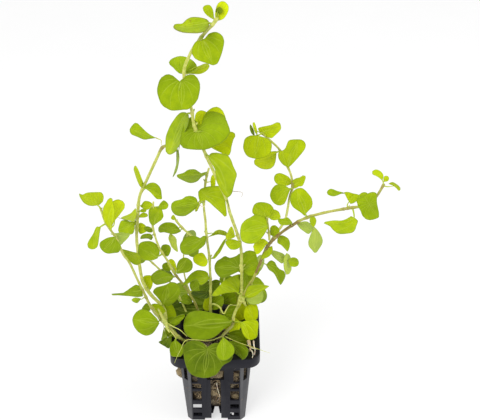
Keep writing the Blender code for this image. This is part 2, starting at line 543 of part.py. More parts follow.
def blade_point(leaf, length, turn, reach):
    """A point of the blade in its own frame: turn runs round from the tip, reach from middle to edge."""
    width = leaf.width * MM
    whole = length * (1 + max(leaf.lobe, 0))
    notch = math.exp(-(((math.pi - abs(turn)) / NOTCH_SPREAD) ** 2))
    x = width / 2 * math.sin(turn) * reach * (1 + leaf.egg * math.cos(turn))
    middle = length - whole / 2
    y = middle + reach * (whole / 2 * math.cos(turn) + leaf.lobe * length * notch)
    z = -leaf.droop * length * (y / length) ** 2 + leaf.cup * width * (2 * x / width) ** 2
    return Vector((x, y, z))


def make_leaf(name, leaf, finish, sides, thick, reaches_in):
    """A leaf: a blade from a disc, given thickness, with its petiole drawn out of the notch to the stem."""
    joint, base, tip, clear = leaf_places(leaf)
    length = (tip - base).length
    frame = leaf_frame(leaf, base, tip)
    bm = bmesh.new()
    bmesh.ops.create_circle(bm, cap_ends=True, radius=1.0, segments=sides)
    if leaf.width >= RINGED_LEAF_WIDTH and not reaches_in:
        bmesh.ops.inset_region(bm, faces=bm.faces[:], thickness=RING_REACH, use_boundary=True)
    middle = [face for face in bm.faces if len(face.verts) == sides]
    bmesh.ops.poke(bm, faces=middle)
    notch_half = NOTCH_WIDE * PETIOLE_WIDE / leaf.width
    beside_notch = 1.5 * math.pi / sides
    for vert in bm.verts:
        turn = math.atan2(vert.co.x, vert.co.y)
        reach = min(vert.co.length, 1.0)
        if math.pi - abs(turn) < beside_notch:
            turn = math.copysign(math.pi - notch_half, turn)
        vert.co = blade_point(leaf, length, turn, reach)
    bmesh.ops.solidify(bm, geom=bm.faces[:], thickness=thick * MM)
    bmesh.ops.recalc_face_normals(bm, faces=bm.faces)
    rim = [face for face in bm.faces if abs(face.normal.z) < math.sqrt(0.5)]
    root = min(rim, key=lambda face: face.calc_center_median().length + abs(face.calc_center_median().x))
    drawn = bmesh.ops.extrude_discrete_faces(bm, faces=[root])["faces"][0]
    far = 0.0 if reaches_in else clear / (joint - base).length
    start = frame.transposed() @ ((joint - base) * (1 - far))
    side = frame.transposed() @ (joint - base).normalized()
    level = Vector((1, 0, 0)) - side * side.x
    level.normalize()
    up = side.cross(level)
    for vert in drawn.verts:
        wide = math.copysign(PETIOLE_WIDE / 2 * MM, vert.co.x)
        high = math.copysign(thick / 2 * MM, (vert.co - drawn.calc_center_median()).z)
        vert.co = start + level * wide + up * high
    place = frame.to_4x4()
    place.translation = base
    bmesh.ops.transform(bm, matrix=place, verts=bm.verts)
    face_outward(bm)
    return new_object(name, bm, finish)


def build():
    for old in list(bpy.data.objects):
        bpy.data.objects.remove(old)
    make_pot()
    make_wool()
    stem_finish = material("stem_green", STEM_GREEN, 0.5)
    leaf_finish = material("leaf_green", LEAF_GREEN, 0.45)
    for name in STEMS:
        stem = make_stem(name, stem_finish)
        own = [leaf for leaf in SMALL_LEAVES if leaf.stem == name]
        joined = [
            make_leaf(f"{name}_small_{number}", leaf, leaf_finish, SMALL_LEAF_SIDES, SMALL_LEAF_THICK, True)
            for number, leaf in enumerate(own, 1)
        ]
        if joined:
            combine(stem, joined, "UNION")
        single = [leaf for leaf in LEAVES if leaf.stem == name]
        for number, leaf in enumerate(single, 1):
            sides = BROAD_LEAF_SIDES if leaf.lobe > 0.2 else LEAF_SIDES
            make_leaf(f"{name}_leaf_{number}", leaf, leaf_finish, sides, LEAF_THICK, False)


build()
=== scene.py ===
"""A creeping jenny in its black net pot, dressed for its photograph. Metres, +Z up.

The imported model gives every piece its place. Stems and leaves are drawn again from the same pixels of
the photograph as their solids, finer, and each piece here stands for the solids that it names.
"""

import math
import random
from collections import namedtuple

import bmesh
import bpy
from mathutils import Matrix, Vector, noise


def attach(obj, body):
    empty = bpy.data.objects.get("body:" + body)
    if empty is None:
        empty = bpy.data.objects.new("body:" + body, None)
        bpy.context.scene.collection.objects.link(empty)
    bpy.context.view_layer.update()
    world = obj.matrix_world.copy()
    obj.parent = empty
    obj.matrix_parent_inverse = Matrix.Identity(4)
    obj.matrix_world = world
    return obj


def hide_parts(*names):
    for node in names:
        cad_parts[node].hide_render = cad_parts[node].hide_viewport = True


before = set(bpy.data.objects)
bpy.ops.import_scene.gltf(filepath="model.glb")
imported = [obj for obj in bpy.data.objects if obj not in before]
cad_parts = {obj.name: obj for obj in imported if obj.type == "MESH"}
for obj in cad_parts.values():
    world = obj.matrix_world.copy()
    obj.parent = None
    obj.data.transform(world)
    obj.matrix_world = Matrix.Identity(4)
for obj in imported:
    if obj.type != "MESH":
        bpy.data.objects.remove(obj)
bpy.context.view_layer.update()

MM = 0.001

# The photograph's view, in m and pixels
VIEW_FROM = Vector((15.5, -449.0, 429.0)) * MM
VIEW_DOWN = math.radians(31.8)
VIEW_FOCAL = 900.0
VIEW_MIDDLE = (240.0, 210.0)
PHOTO_WIDE = 480.0
SENSOR_WIDE = 36.0
NEAREST_SEEN = 0.01

# The pot, in mm. A row of windows is given by its base and top, a window of the top row by its sides and
# base, and a drain hole by its left, front, right and back.
POT_HEIGHT = 60.0
RIM_HALF = 28.0
RIM_DROP = 7.0
RIM_CORNER = 8.0
RIM_EDGE = 0.5
BODY_TOP_HALF = 23.6
BODY_BASE_HALF = 18.8
BODY_FLAT = 15.9
WALL = 1.2
FLOOR = 1.5
SLOT_HALF = 3.2
SLOT_TOP = 37.6
WINDOW_FROM = 9.2
WINDOW_TO = 14.9
WINDOW_ROWS = ((29.0, 34.0), (18.6, 27.2), (10.8, 15.0), (3.6, 7.0))
TOP_WINDOW_ROW = (38.8, 46.0)
TOP_WINDOWS = ((-15.2, -11.4, 35.2), (-5.4, 5.4, 37.8), (11.4, 15.2, 35.2))
CORNER_WINDOW_BASE = 35.2
CORNER_WINDOW_HALF = 1.7
FOOT_RISE = 1.8
FOOT_FROM = 7.5
HUB_HALF = 6.5
FLOOR_SLOT_INNER = 8.2
FLOOR_SLOT_HALVES = (1.2, 2.9)
DRAIN_HOLES = ((-16.2, -11.4, -9.9, -5.8), (-12.0, -17.7, -10.4, -15.2), (10.2, -17.7, 11.6, -15.2))
CORNER_STEPS = 8
CUT_PAST = 1.0
CUT_WITHIN = 3.0
EDGE_ROUND = 0.22
EDGE_FROM = math.radians(35)
WELD_WITHIN = 0.002
FLAT_WITHIN = math.radians(1.0)

# The rooting wool, in mm
WOOL_TOP = 49.0
WOOL_BASE = 10.6
WOOL_ROOM = 0.5
WOOL_TONGUE = 5.0
WOOL_HOLLOW = 5.0
WOOL_CUTS = 34
WOOL_SWELL = 4.2
SWELL_HALF_HIGH = 3.0
SWELL_ROOM = 0.5
WOOL_DENT = 0.8
WOOL_INSET = 0.5
WOOL_ROUGH = 0.45
WOOL_TOP_RISE = 0.8
WOOL_TOP_ROUGH = 1.4
WOOL_BASE_RISE = 0.3
WOOL_BASE_ROUGH = 1.8
WOOL_LUMPS = 0.23
TUFT_PLACE = Vector((-22.2, -13.3, 36.8))
TUFT_HALF = Matrix.Diagonal((2.9, 2.5, 3.5))
TUFT_GRAIN = 1.6
TUFT_ROUGH = 0.28

# The loose fibres on the wool. Radii are shares of a step of the fibre, steps and places are in mm.
FIBRES = 900
FIBRE_SHAPES = 9
FIBRE_RADII = (0.06, 0.07, 0.07, 0.06, 0.05, 0.03)
FIBRE_RISE = 0.25
FIBRE_FALL = 0.12
FIBRE_CURL = 0.7
FIBRE_STEP = (0.9, 1.7)
FIBRE_FLAT = 0.35
FIBRE_ABOVE = 0.9
FIBRE_WITHIN = 0.2
FIBRE_COLUMN = 12.0
FIBRE_SPREAD = 14
FIBRE_STRAY = 3

# Stems and leaves, in mm
LINE_STEP = 1.3
FINE_STEP = 0.5
ROOT_STEP = 1.0
ROOT_END = 0.25
ROOTED_BELOW = 53.0
ROOTED_DEEP = 3
STEM_SIDES = 8
STEM_SQUARE = 0.06
STALK_SIDES = 6
JOINT_SWELL = 0.32
JOINT_REACH = 1.3
NO_JOINT = 99.0
BUD_SHARE = 0.4
BUD_SIZE = (0.5, 0.8)
BUD_SHAPE = (0.7, 0.5, 1.5, 1.0)
NOTCH_SPREAD = 0.42
BLADE_THICK = 0.30
PETIOLE_WIDE = 0.95
PETIOLE_LEAST = 0.3
PETIOLE_ROOM = 0.65
THIN_PETIOLE = 0.75
THIN_PETIOLE_TO = 9
GAP = 0.3
STEEPEST_LEAN = 0.35
LEAST_FACING = 0.35
MIDRIB_FOLD = 0.03
FOLD_REACH = 0.18
EDGE_WAVES = (3, 5, 8)
WAVE_HEIGHT = (0.010, 0.022)
TWIST_MOST = 0.12

# How finely a blade is made: wider than, rings, and corners to its margin
BLADE_MESHES = ((13, 8, 44), (7, 5, 32), (0, 4, 24))

# How light a leaf is by rule: at the foot of the photograph, how much more at its top as painted light,
# and less behind as painted shade
RULE_TONE = 0.50
RULE_PAINTED_LIGHT_HIGHER = 0.34
RULE_PAINTED_SHADE_BEHIND = 0.18
RULE_CHANCE = 0.07
RULE_FOOT = 330.0

Stem = namedtuple("Stem", "wide narrow route")
Leaf = namedtuple(
    "Leaf", "base tip lift width roll tone outline droop cup age lobe egg stalkless",
    defaults=(None, (), 0.1, 0.1, 0.0, 0.0, 0.0, False),
)
Mood = namedtuple("Mood", "tone age")
Blade = namedtuple("Blade", "leaf base axes length rim middle half")

# Stems: their width in mm where they start and end, and their route as across, down and near
STEMS = {
    "tall": Stem(2.1, 1.7, (
        (221, 350, 9), (221.5, 343, 8), (222, 336.5, 7), (226, 332, 4), (232.5, 325, 0), (233.5, 317, -3),
        (236, 310, -5), (241.2, 299, -6), (241.7, 284, -5), (241.5, 265, -3), (241.2, 251, -1),
        (239.5, 241, 1), (235.5, 228.5, 4), (229.7, 212, 7), (226, 198, 9), (216, 177, 12),
        (210.4, 164.6, 13), (204, 150.6, 15), (194.5, 126, 17), (191.4, 109, 18), (184, 74.6, 20),
        (189.7, 55, 22), (199.5, 39.5, 24), (213.8, 23, 26), (217.5, 17, 27),
    )),
    "arching": Stem(1.9, 1.3, (
        (244.4, 294.5, -4), (246.8, 289, -3), (253.6, 278, 0), (260, 263, 3), (268, 245.5, 6),
        (281, 233, 9), (292.7, 225, 12), (304.8, 218.4, 15), (323, 213, 19), (344.8, 208.8, 23),
        (357, 207, 25), (369, 205, 26), (377.5, 195, 26), (384, 184, 26),
    )),
    "upper_right": Stem(1.7, 1.1, (
        (272, 239.7, 4.6), (278, 231, 0), (285.4, 219, -5), (289.7, 197, -12), (292.4, 187.5, -15),
        (291.5, 177, -17), (288.3, 168, -18), (280.4, 151, -18), (271, 141, -17), (261, 132.5, -15),
    )),
    "short_right": Stem(1.4, 1.1, ((269.4, 240.2, 7.5), (269, 233, 6), (267.9, 226, 4), (267, 217, 2))),
    "middle": Stem(1.9, 1.4, (
        (213, 329, -12), (211, 318, -11), (210.5, 300, -9), (210.6, 285.5, -8), (210, 270, -8),
        (209.3, 256.5, -8), (206.4, 235, -9), (205.5, 221.5, -11), (203.8, 205, -13), (205, 187, -16),
        (206.5, 177, -17), (209, 168, -18),
    )),
    "outer_left": Stem(2.0, 1.0, (
        (191, 344, 3), (186, 341.5, 8), (180.2, 338.2, 11), (174, 333, 11), (164.8, 323, 9),
        (160.8, 319.5, 9), (150.6, 306, 12), (145.3, 295.7, 15), (137.2, 279, 19), (129.6, 263, 23),
        (123, 254, 26), (117.4, 240, 29), (111, 230.5, 31), (104.6, 221, 32), (100.5, 208, 32),
    )),
    "left": Stem(2.5, 1.7, (
        (165.6, 320.5, 7), (165, 314, 3), (162, 306, 0), (150.6, 294.4, -3), (143, 282, -5),
        (139.6, 266, -7), (137.6, 249, -9), (136.6, 236, -10), (137.6, 214, -12), (139.5, 197, -13),
        (143.5, 187, -14), (156, 160, -16), (161.5, 148.5, -17), (166, 145.5, -18),
    )),
    "inner_left": Stem(1.7, 1.2, (
        (204, 331, -12), (200, 316, -10), (194.5, 302, -7), (184, 285.5, -3), (175.8, 275, 1),
        (167, 260, 5), (158.7, 246.5, 9), (153, 228, 12), (152.5, 215, 14), (153.4, 202, 16),
    )),
    "thin_left": Stem(1.5, 1.1, (
        (204.4, 243, -10.5), (198, 241, -14), (191.5, 236, -17), (182, 227.5, -20), (175.5, 220, -22),
    )),
    "short_left": Stem(1.5, 1.2, (
        (197, 336, -7), (188, 316, -10), (180, 298, -14), (170, 282, -18), (160, 270, -21),
        (151, 261.5, -23),
    )),
    "front": Stem(1.4, 1.0, ((200.5, 352, 10), (200, 346.5, 14), (202.5, 344, 19), (206.8, 347.5, 24))),
    "back_left": Stem(1.4, 0.8, (
        (212, 325.5, -17), (200, 310, -18), (190, 292, -27), (184, 272, -35), (184, 250, -41),
        (188, 232, -45),
    )),
    "back_right": Stem(1.4, 0.8, (
        (228, 326, -16), (238, 312, -18), (246, 296, -27), (252, 278, -35), (254, 258, -41),
        (255, 238, -45), (257, 226, -46),
    )),
    "back_middle": Stem(1.4, 0.8, (
        (220, 324, -17), (221, 308, -19), (222, 290, -30), (226, 272, -39), (228, 260, -43),
    )),
}

# Leaves, stem by stem. Each has the pixel where its blade starts and that of its tip, how many mm each
# stands nearer than the stem, its width in mm, its turn about its midrib in degrees, how light it is, and
# its outline in the photograph from its notch round and back. How light it is holds both its own colour
# and painted light and shade: leaves low down and deep in the plant are painted darker. Then come its
# droop and cup, as shares of its length and width, and how worn it is. One that can't be seen clearly has
# no outline, and may have lobes behind its stalk, or be wider towards its tip. The first table has those
# with a solid of their own, in the order of their nodes.
LEAVES = {}
LEAVES["tall"] = (
    Leaf((209.5, 23), (174, 27.5), (1, -2), 14, 55, 0.58, (
        (209, 26), (208.8, 21.3), (205.8, 18.8), (200.8, 17.5), (195, 16.9), (190, 17.5), (185.8, 20),
        (182.5, 23.3), (178, 23.7), (174.5, 24.3), (173.2, 26.7), (175, 29.2), (182.5, 32.1),
        (195, 32.9), (200, 32.5), (205, 31.3)), 0.05, 0.1, age=0.55),
    Leaf((202, 38.5), (213, 65.5), (3, 5), 16.5, 0, 0.58, (
        (201, 40.4), (205, 38.3), (208.3, 34.2), (212.5, 32.3), (216.7, 32.1), (220.8, 34.2),
        (223.3, 37.5), (224.2, 42.5), (222.1, 52.5), (218.8, 61.3), (216.7, 64.2), (213.3, 65.4),
        (208.3, 63.8), (200.4, 61.3), (195.8, 59.2), (193.3, 56.3), (191.7, 52.5), (192.9, 45.8),
        (195, 42.5), (197.5, 40.8)), 0.06, 0.06),
    Leaf((183.5, 72.5), (179.5, 57.5), (-2, -7), 14, -10, 0.5, (
        (185, 73.8), (180, 73.6), (176.5, 71.3), (173, 67.5), (169.8, 64.8), (169, 62), (171, 59.3),
        (175.5, 57), (180.5, 56), (185.5, 56.8), (190, 58.7), (193.5, 61), (196.3, 64.5), (197, 67),
        (193, 71)), 0.05, 0.08),
    Leaf((181, 80.5), (181.7, 110), (2, 6.5), 22, 0, 0.48, (
        (180, 81.5), (183, 79.3), (186, 75.5), (190, 74.3), (194.5, 75), (197.5, 78), (199.5, 82),
        (200.2, 88), (198, 99), (195.5, 103), (189, 109), (184, 109.8), (174, 110.7), (169.5, 110),
        (165, 107.5), (160.8, 103.5), (157.2, 93), (157.4, 87), (158.7, 82), (161.3, 77.5), (165, 75),
        (169, 74.2), (173, 75.7), (176.5, 78.7)), 0.12, 0.05),
    Leaf((187, 113.5), (169, 153), (-4, -5), 18, 52, 0.54, (
        (188.3, 115), (186.7, 113), (184.2, 112.1), (180.8, 112.5), (177.1, 115.4), (171.7, 122.9),
        (169.2, 127.5), (165.8, 136.7), (165.4, 146.7), (165.8, 151.7), (167.5, 153.8), (170.4, 154.6),
        (175.8, 151.3), (177.1, 148.3), (180, 144.2), (184.2, 132.5), (187, 126),
        (188.5, 120)), 0.02, 0.1),
    Leaf((197.5, 129), (203, 149.5), (0.5, 8), 27.5, 0, 0.44, (
        (197.5, 128.5), (196, 122), (193.5, 118), (190.5, 117), (187, 119), (183.5, 125), (181, 134),
        (180, 144), (183, 147.8), (190.5, 149.3), (203, 149.8), (210.5, 148), (221, 143), (226, 139),
        (229.8, 133), (229.5, 128), (224.5, 116), (221, 113.5), (213, 111.3), (209, 111.6),
        (206, 113.5), (204, 116), (202.5, 120), (201, 125)), 0.15, 0.04),
    Leaf((202, 127), (219.5, 109.5), (-4, -8), 13, 15, 0.95, (
        (202, 127), (203, 119), (206, 113), (209.5, 109.5), (213.5, 107.3), (217, 106.8),
        (220.5, 108.5), (223, 111), (226, 120), (222, 126), (212, 129))),
    Leaf((209, 139.5), (232.5, 147.5), (-5, -3), 16, 15, 0.88, (
        (209, 139.5), (209.5, 145), (213, 148.8), (220.5, 152.5), (224, 155), (227, 156), (229.5, 155),
        (231, 151), (231.5, 147), (233.5, 139.5), (235.3, 136.5), (235, 134), (232.5, 132), (226, 132),
        (218, 135))),
    Leaf((208, 155), (229.5, 198), (2.5, 8), 15.5, 32, 0.62, (
        (208.5, 157.5), (209.5, 154.5), (212, 153), (216, 152.8), (224, 154.2), (228, 155.5),
        (231.5, 161.5), (233, 166), (236.6, 174), (236, 178), (234.5, 183), (232, 193), (230, 196),
        (227.5, 198), (222, 192), (217, 181), (215, 170), (212.5, 165)), 0.1, 0.08),
    Leaf((237.5, 268), (215, 267), (-2, -5), 15, 30, 0.34, (
        (241, 270), (234, 273.5), (228, 276), (222, 278), (218, 275.5), (215, 271), (214.5, 266),
        (217, 261), (221, 258.5), (225, 256), (230, 257.8), (236, 256), (240.5, 254)), 0.1, 0.08),
    Leaf((244, 269), (261, 261), (-2, -6), 16, 15, 0.5, (
        (242.5, 271), (248, 275.5), (253, 276), (257, 275.5), (259.5, 272), (260, 267), (258, 262),
        (257, 257), (255, 252), (249, 250.5), (244, 253), (242.5, 260)), 0.1, 0.08),
    Leaf((239.5, 294), (215.5, 283.5), (3, 8), 15, 38, 0.64, (
        (239, 292), (240.3, 282), (240.5, 274.5), (234, 275.5), (228, 278.5), (223.5, 281),
        (219.5, 285.5), (215, 290.5), (212, 295.5), (217, 296), (224, 293.5),
        (231, 292.5)), 0.12, 0.08),
    Leaf((246, 296.5), (269, 285.6), (9, 13), 13, 35, 0.58, (
        (244.5, 295.5), (246.5, 289.5), (249, 286), (254, 285), (260, 284.5), (266, 285.5),
        (269, 286.3), (265.5, 289), (261, 291.5), (257, 295), (252, 297.5), (248, 298)), 0.12, 0.08),
    Leaf((231, 322), (185, 326), (6, 12), 20, 28, 0.32, (
        (232.2, 322.5), (224.4, 315.6), (215.6, 313.5), (205.6, 311.2), (196.7, 310.6), (188.9, 312.9),
        (184.4, 319.6), (183.7, 328.3), (186.7, 335), (194.4, 339.5), (204.4, 340), (213.3, 337.5),
        (218.9, 333.5), (223.3, 329.3)), 0.15, 0.06),
    Leaf((241.5, 322), (250.5, 340.5), (7, 15), 13.5, 25, 0.76, (
        (240.5, 324.5), (242.2, 321.7), (248.9, 320), (255.6, 320), (258.3, 322.8), (257.8, 330.6),
        (256.7, 337.2), (251.1, 340), (246.7, 338.9), (242.8, 333.9), (241.1, 328.3)), 0.1, 0.08),
    Leaf((223.5, 338.8), (223.5, 360.5), (16.5, 28.5), 12, 5, 0.42, (
        (223.5, 337), (232, 344.4), (234.5, 349.4), (233.6, 353.8), (230.8, 356.9), (227, 359.7),
        (222, 360.3), (218.3, 358.1), (216.4, 353.8), (216.4, 348.8), (218.9, 343.1)), 0, 0.08),
)
LEAVES["arching"] = (
    Leaf((305.5, 214), (296, 189), (2, 2), 13, 5, 0.62, (
        (304.5, 216), (300, 212), (296, 209.5), (292.5, 206.5), (290.5, 202.5), (290.2, 198),
        (291.5, 193.5), (294, 190.5), (297.5, 188.5), (301, 188), (305, 190), (311, 197), (312.5, 202),
        (312, 207), (307, 212.5)), 0.1, 0.08),
    Leaf((315, 229), (314.5, 252.5), (-4, -3), 11.5, 145, 0.6, (
        (314.5, 227), (317.5, 230), (320.5, 234.5), (322.5, 240), (321.5, 244.5), (319, 248.5),
        (317, 251.5), (314.5, 252.8), (312, 250), (309, 246.5), (308.3, 241.5), (310, 236),
        (312, 231)), 0.05, 0.1),
    Leaf((354.5, 218), (324.5, 224), (3, 8), 14, 40, 0.64, (
        (351, 216), (355, 218), (358, 221), (356.5, 225.5), (355, 230), (352, 232.5), (347, 233.3),
        (341, 233.8), (336.5, 232.5), (332.5, 229), (330, 226), (326, 224), (323.8, 223), (325, 221.8),
        (330, 220.8), (335, 220.3), (341, 220.5), (346, 219)), 0.15, 0.08),
    Leaf((370, 205), (379, 219), (4, 7), 13, 15, 0.54, (
        (372, 192), (376.5, 193.5), (377, 203), (379, 213), (379, 217), (375.5, 219), (370, 220.2),
        (365.5, 219), (362.5, 216), (360.5, 211), (358.5, 207.5), (357, 203), (357.5, 198.5),
        (361, 197), (365, 195), (369, 193)), 0.12, 0.06),
)
LEAVES["upper_right"] = (
    Leaf((259, 134.5), (254.5, 158.5), (4, 8), 15.5, 0, 0.7, (
        (259, 136), (255.4, 135.4), (250.8, 135.5), (247.7, 136.6), (244.6, 139.3), (243.1, 146.6),
        (243.8, 150.5), (245.4, 153.9), (248.5, 157), (256.2, 158.9), (261.5, 158.2), (266.2, 156.6),
        (270.4, 152.8), (271.9, 145.8), (271.2, 142.4), (268.8, 139.3), (264.6, 137.4)), 0.12, 0.05),
    Leaf((275, 154), (255, 163), (-3, -3), 12, 35, 0.86, (
        (276.5, 151), (271, 151.5), (262, 155), (256, 158.5), (254, 161), (254.3, 164), (257, 166.3),
        (261, 168.5), (265.5, 169.2), (270, 168.6), (273.5, 166), (275.2, 162),
        (276, 157)), 0.12, 0.08),
    Leaf((288.3, 166.5), (299, 139.5), (2, 2), 14.5, 20, 0.7, (
        (288.3, 167.5), (284, 165.5), (281, 162.5), (278.7, 159), (278, 155), (279.5, 151.5),
        (283, 150.5), (285.5, 148), (288.5, 141), (292, 139.8), (297, 139.5), (302, 140), (305, 142.5),
        (305.8, 146), (304, 150.5), (297.5, 158.5), (291, 165.5))),
    Leaf((289.5, 188.5), (275.5, 203.5), (4, 8), 11.5, 15, 0.6, (
        (290.5, 189.5), (286, 186), (280, 184.5), (276, 184.8), (272.5, 188), (270.5, 192), (270, 196),
        (271.5, 200), (274, 203.3), (277.5, 205.2), (281, 205.3), (284.5, 203.5), (286.5, 199.5),
        (289, 192.5)), 0.12, 0.06),
)
LEAVES["short_right"] = (
    Leaf((266.5, 226), (240.6, 232), (4, 6), 17, 8, 0.6, (
        (268, 228), (266, 219), (261, 215.5), (255, 214.5), (251, 217), (246, 219.5), (242, 223.5),
        (240.5, 228), (240, 233), (240.5, 238), (242.5, 241.5), (247, 243.5), (252, 243.8), (256, 243),
        (260, 240), (264, 235)), 0.12, 0.05),
)
LEAVES["middle"] = (
    Leaf((206, 195.5), (226, 216.5), (4, 9), 16, 25, 0.58, (
        (204, 199.5), (200, 201), (198.5, 197), (198.3, 191.5), (200.5, 189), (205, 187.3),
        (210, 186.3), (218, 186), (221, 188), (223, 195), (225, 200), (226.5, 212), (226.5, 216),
        (224.5, 216.8), (222, 214), (214, 206.8), (210, 203), (206, 200.3))),
    Leaf((202.5, 174), (177.5, 175.6), (3, 5), 15, 58, 0.42, (
        (207, 171.5), (204, 172.8), (201, 173), (198, 171), (195, 169.3), (191, 169.2), (187.5, 170),
        (184, 172.5), (180, 173.8), (177, 174.8), (178, 177.5), (186, 181.5), (190.5, 182.7),
        (195, 182), (198.5, 180), (201, 177), (205, 174.5)), 0.02, 0.1),
    Leaf((197.5, 203), (171.5, 207.5), (3, 6), 15.5, 42, 0.52, (
        (198.5, 204), (196.5, 198.5), (193, 196.3), (189, 195.8), (185, 196.8), (182, 199),
        (175, 200.8), (172, 203), (171, 206), (171.3, 209.5), (173, 212.5), (176, 215), (180, 215.9),
        (185, 215.7), (189, 213.5), (192.5, 211), (196, 208)), 0.15, 0.12),
    Leaf((201.5, 239.5), (179.6, 247), (4, 7), 14, 35, 0.4, (
        (206, 240), (206.5, 236), (203, 236), (200, 238), (197, 236.5), (193, 235.8), (189, 236.2),
        (185, 237.8), (182, 241), (180, 245), (180, 249), (181.5, 252.5), (185, 254.5), (189, 254.6),
        (193.5, 252.5), (201.5, 247.5), (205, 244)), 0.12, 0.1),
    Leaf((207.5, 278), (184, 284), (3, 8), 14, 40, 0.54, (
        (209.5, 279), (207.5, 272.5), (203, 270.5), (198, 270), (194, 271.5), (190, 274.5),
        (186.5, 279), (182, 285.5), (186, 284.5), (194, 280), (197, 279.5), (199, 282.5), (201, 285),
        (205, 283)), 0.12, 0.1),
)
LEAVES["outer_left"] = (
    Leaf((101, 204.5), (79.4, 193.8), (1, 5), 13, 48, 0.74, (
        (100, 204.5), (103, 201.5), (103.8, 198), (103.3, 194.5), (101.5, 192.3), (97, 192),
        (87.5, 192.5), (84, 194), (81.5, 194.8), (79.3, 193.5), (80, 196.5), (82, 200), (84.5, 203),
        (88, 205), (92, 205.8), (96, 205.5)), 0.05, 0.1),
    Leaf((111.3, 228.5), (114.5, 198.5), (2, 4), 12.5, 0, 0.78, (
        (110.5, 229.5), (106, 224), (103.5, 218), (102.5, 212), (103.5, 207), (106, 203), (107.5, 200),
        (110, 198), (112.5, 199.5), (113, 204), (114.5, 210), (114, 218), (112.5, 225)), 0.1, 0.14),
    Leaf((98, 228.5), (92.5, 250), (2, 5), 9.5, 35, 0.6, (
        (100.5, 227.5), (97, 226.5), (95, 229), (93.5, 233), (91, 237), (88.5, 241), (87.3, 244.5),
        (88, 247.5), (91, 249.3), (94.5, 249), (97, 247), (98, 243.5), (99.3, 234),
        (100, 230)), 0.05, 0.12),
    Leaf((114.5, 238), (102, 251.5), (8, 15), 12, 15, 0.36, (
        (114, 236.5), (108, 237.5), (103, 240), (100, 242.5), (99.5, 245.5), (101, 249), (104, 252),
        (108, 253.5), (115, 252.8), (119, 252), (121, 246), (119, 243), (117, 240)), 0.15, 0.06),
    Leaf((121.5, 250), (139.5, 260.5), (-4, -6), 11.5, 40, 0.6, (
        (121, 249), (127, 250.5), (133, 252.2), (138, 253.5), (140.5, 257), (141, 262), (138, 265),
        (134, 264.5), (129.5, 261), (125.5, 256.5), (121.5, 253))),
    Leaf((140, 291), (124, 290.5), (1, 4), 12, 50, 0.36, (
        (143, 296), (138, 296.8), (131, 296), (125, 295.5), (118, 295), (112.5, 295), (111.5, 293.7),
        (117, 293.3), (122, 293.2), (126, 291), (131, 287.5), (136, 284.5), (139, 285.5), (142, 290))),
    Leaf((157, 322.5), (133.5, 319.5), (9, 13), 18.5, 0, 0.42, (
        (159.5, 323.5), (157, 318.5), (153, 314.5), (150, 311.5), (145, 309.7), (141, 309.3),
        (137, 311.5), (134, 315), (132.5, 319.5), (133.5, 325), (136.5, 330), (140.5, 333.5),
        (146, 335.7), (151, 334.5), (154.5, 331.5), (157, 327.5)), 0.15, 0.06),
)
LEAVES["left"] = (
    Leaf((157, 138.5), (130, 129), (0, 2), 13, 40, 0.5, (
        (156, 137.8), (150, 134.5), (145, 130.5), (141, 126.5), (138, 123.5), (135, 122.8),
        (132.5, 125), (130, 128.5), (130, 131.5), (132, 134.5), (136, 136), (144, 139.3), (149, 138.8),
        (153, 138.2)), 0.05, 0.08, stalkless=True),
    Leaf((145.5, 188.5), (161.5, 196), (2, 6), 11, 35, 0.54, (
        (144, 187.5), (147, 184.5), (150, 183), (154, 182.8), (157, 184.3), (159.5, 187), (161, 190.5),
        (161.5, 195), (161.8, 199), (158.5, 199.3), (156, 198.5), (151, 193),
        (148, 190.5)), 0.15, 0.08),
    Leaf((164, 302), (168, 284), (6, 11), 15.5, 20, 0.38, (
        (162.5, 304), (157, 297), (153, 292), (156, 288), (161, 286.5), (166, 285), (171, 282.5),
        (175.5, 283), (179, 286), (180.5, 290), (179.5, 295), (177, 299.5), (173.5, 303),
        (169, 306)), 0.12, 0.08),
)
LEAVES["inner_left"] = (
    Leaf((156.5, 257), (142.5, 249.5), (5, 9), 13, 15, 0.5, (
        (157.5, 258.5), (159.5, 254), (159.5, 249), (157, 244.5), (152, 241.5), (147, 241), (142, 242),
        (139, 245), (138.5, 254), (141, 259), (146, 260.5), (152, 260.5)), 0.12, 0.06),
    Leaf((176.5, 272), (187.5, 258.5), (3, 4), 9.5, 0, 0.3, (
        (177, 274), (176.5, 268), (177.5, 263), (180, 259.5), (184, 257.7), (188, 258.5),
        (191.5, 261.5), (192.7, 265.5), (191.5, 270), (188, 272.3), (183, 273)), 0.12, 0.08),
    Leaf((175, 277), (155, 280), (-4, -6), 11, 38, 0.42, (
        (174, 275.5), (168, 273), (163, 270.5), (158, 270), (154, 272.5), (151, 276), (152, 281),
        (156, 284.5), (161, 284), (167, 282.5), (172, 279.5)), 0.1, 0.08),
)
LEAVES["front"] = (
    Leaf((207.4, 351.5), (204, 376.5), (5.4, 12.4), 26, 0, 0.14, (
        (206.5, 348), (203, 343), (197, 340.6), (190.8, 340.6), (186.5, 342.5), (183.3, 346),
        (183, 351), (185.1, 363.1), (187.6, 370), (191.4, 374.4), (197, 376.9), (204.5, 378.1),
        (210.8, 376.9), (215.8, 375), (219.5, 370.6), (222, 366.9), (225.1, 364.1), (230.1, 361.6),
        (233, 357), (232, 350), (226, 345), (218, 343), (212, 344)), 0.08, -0.02),
)
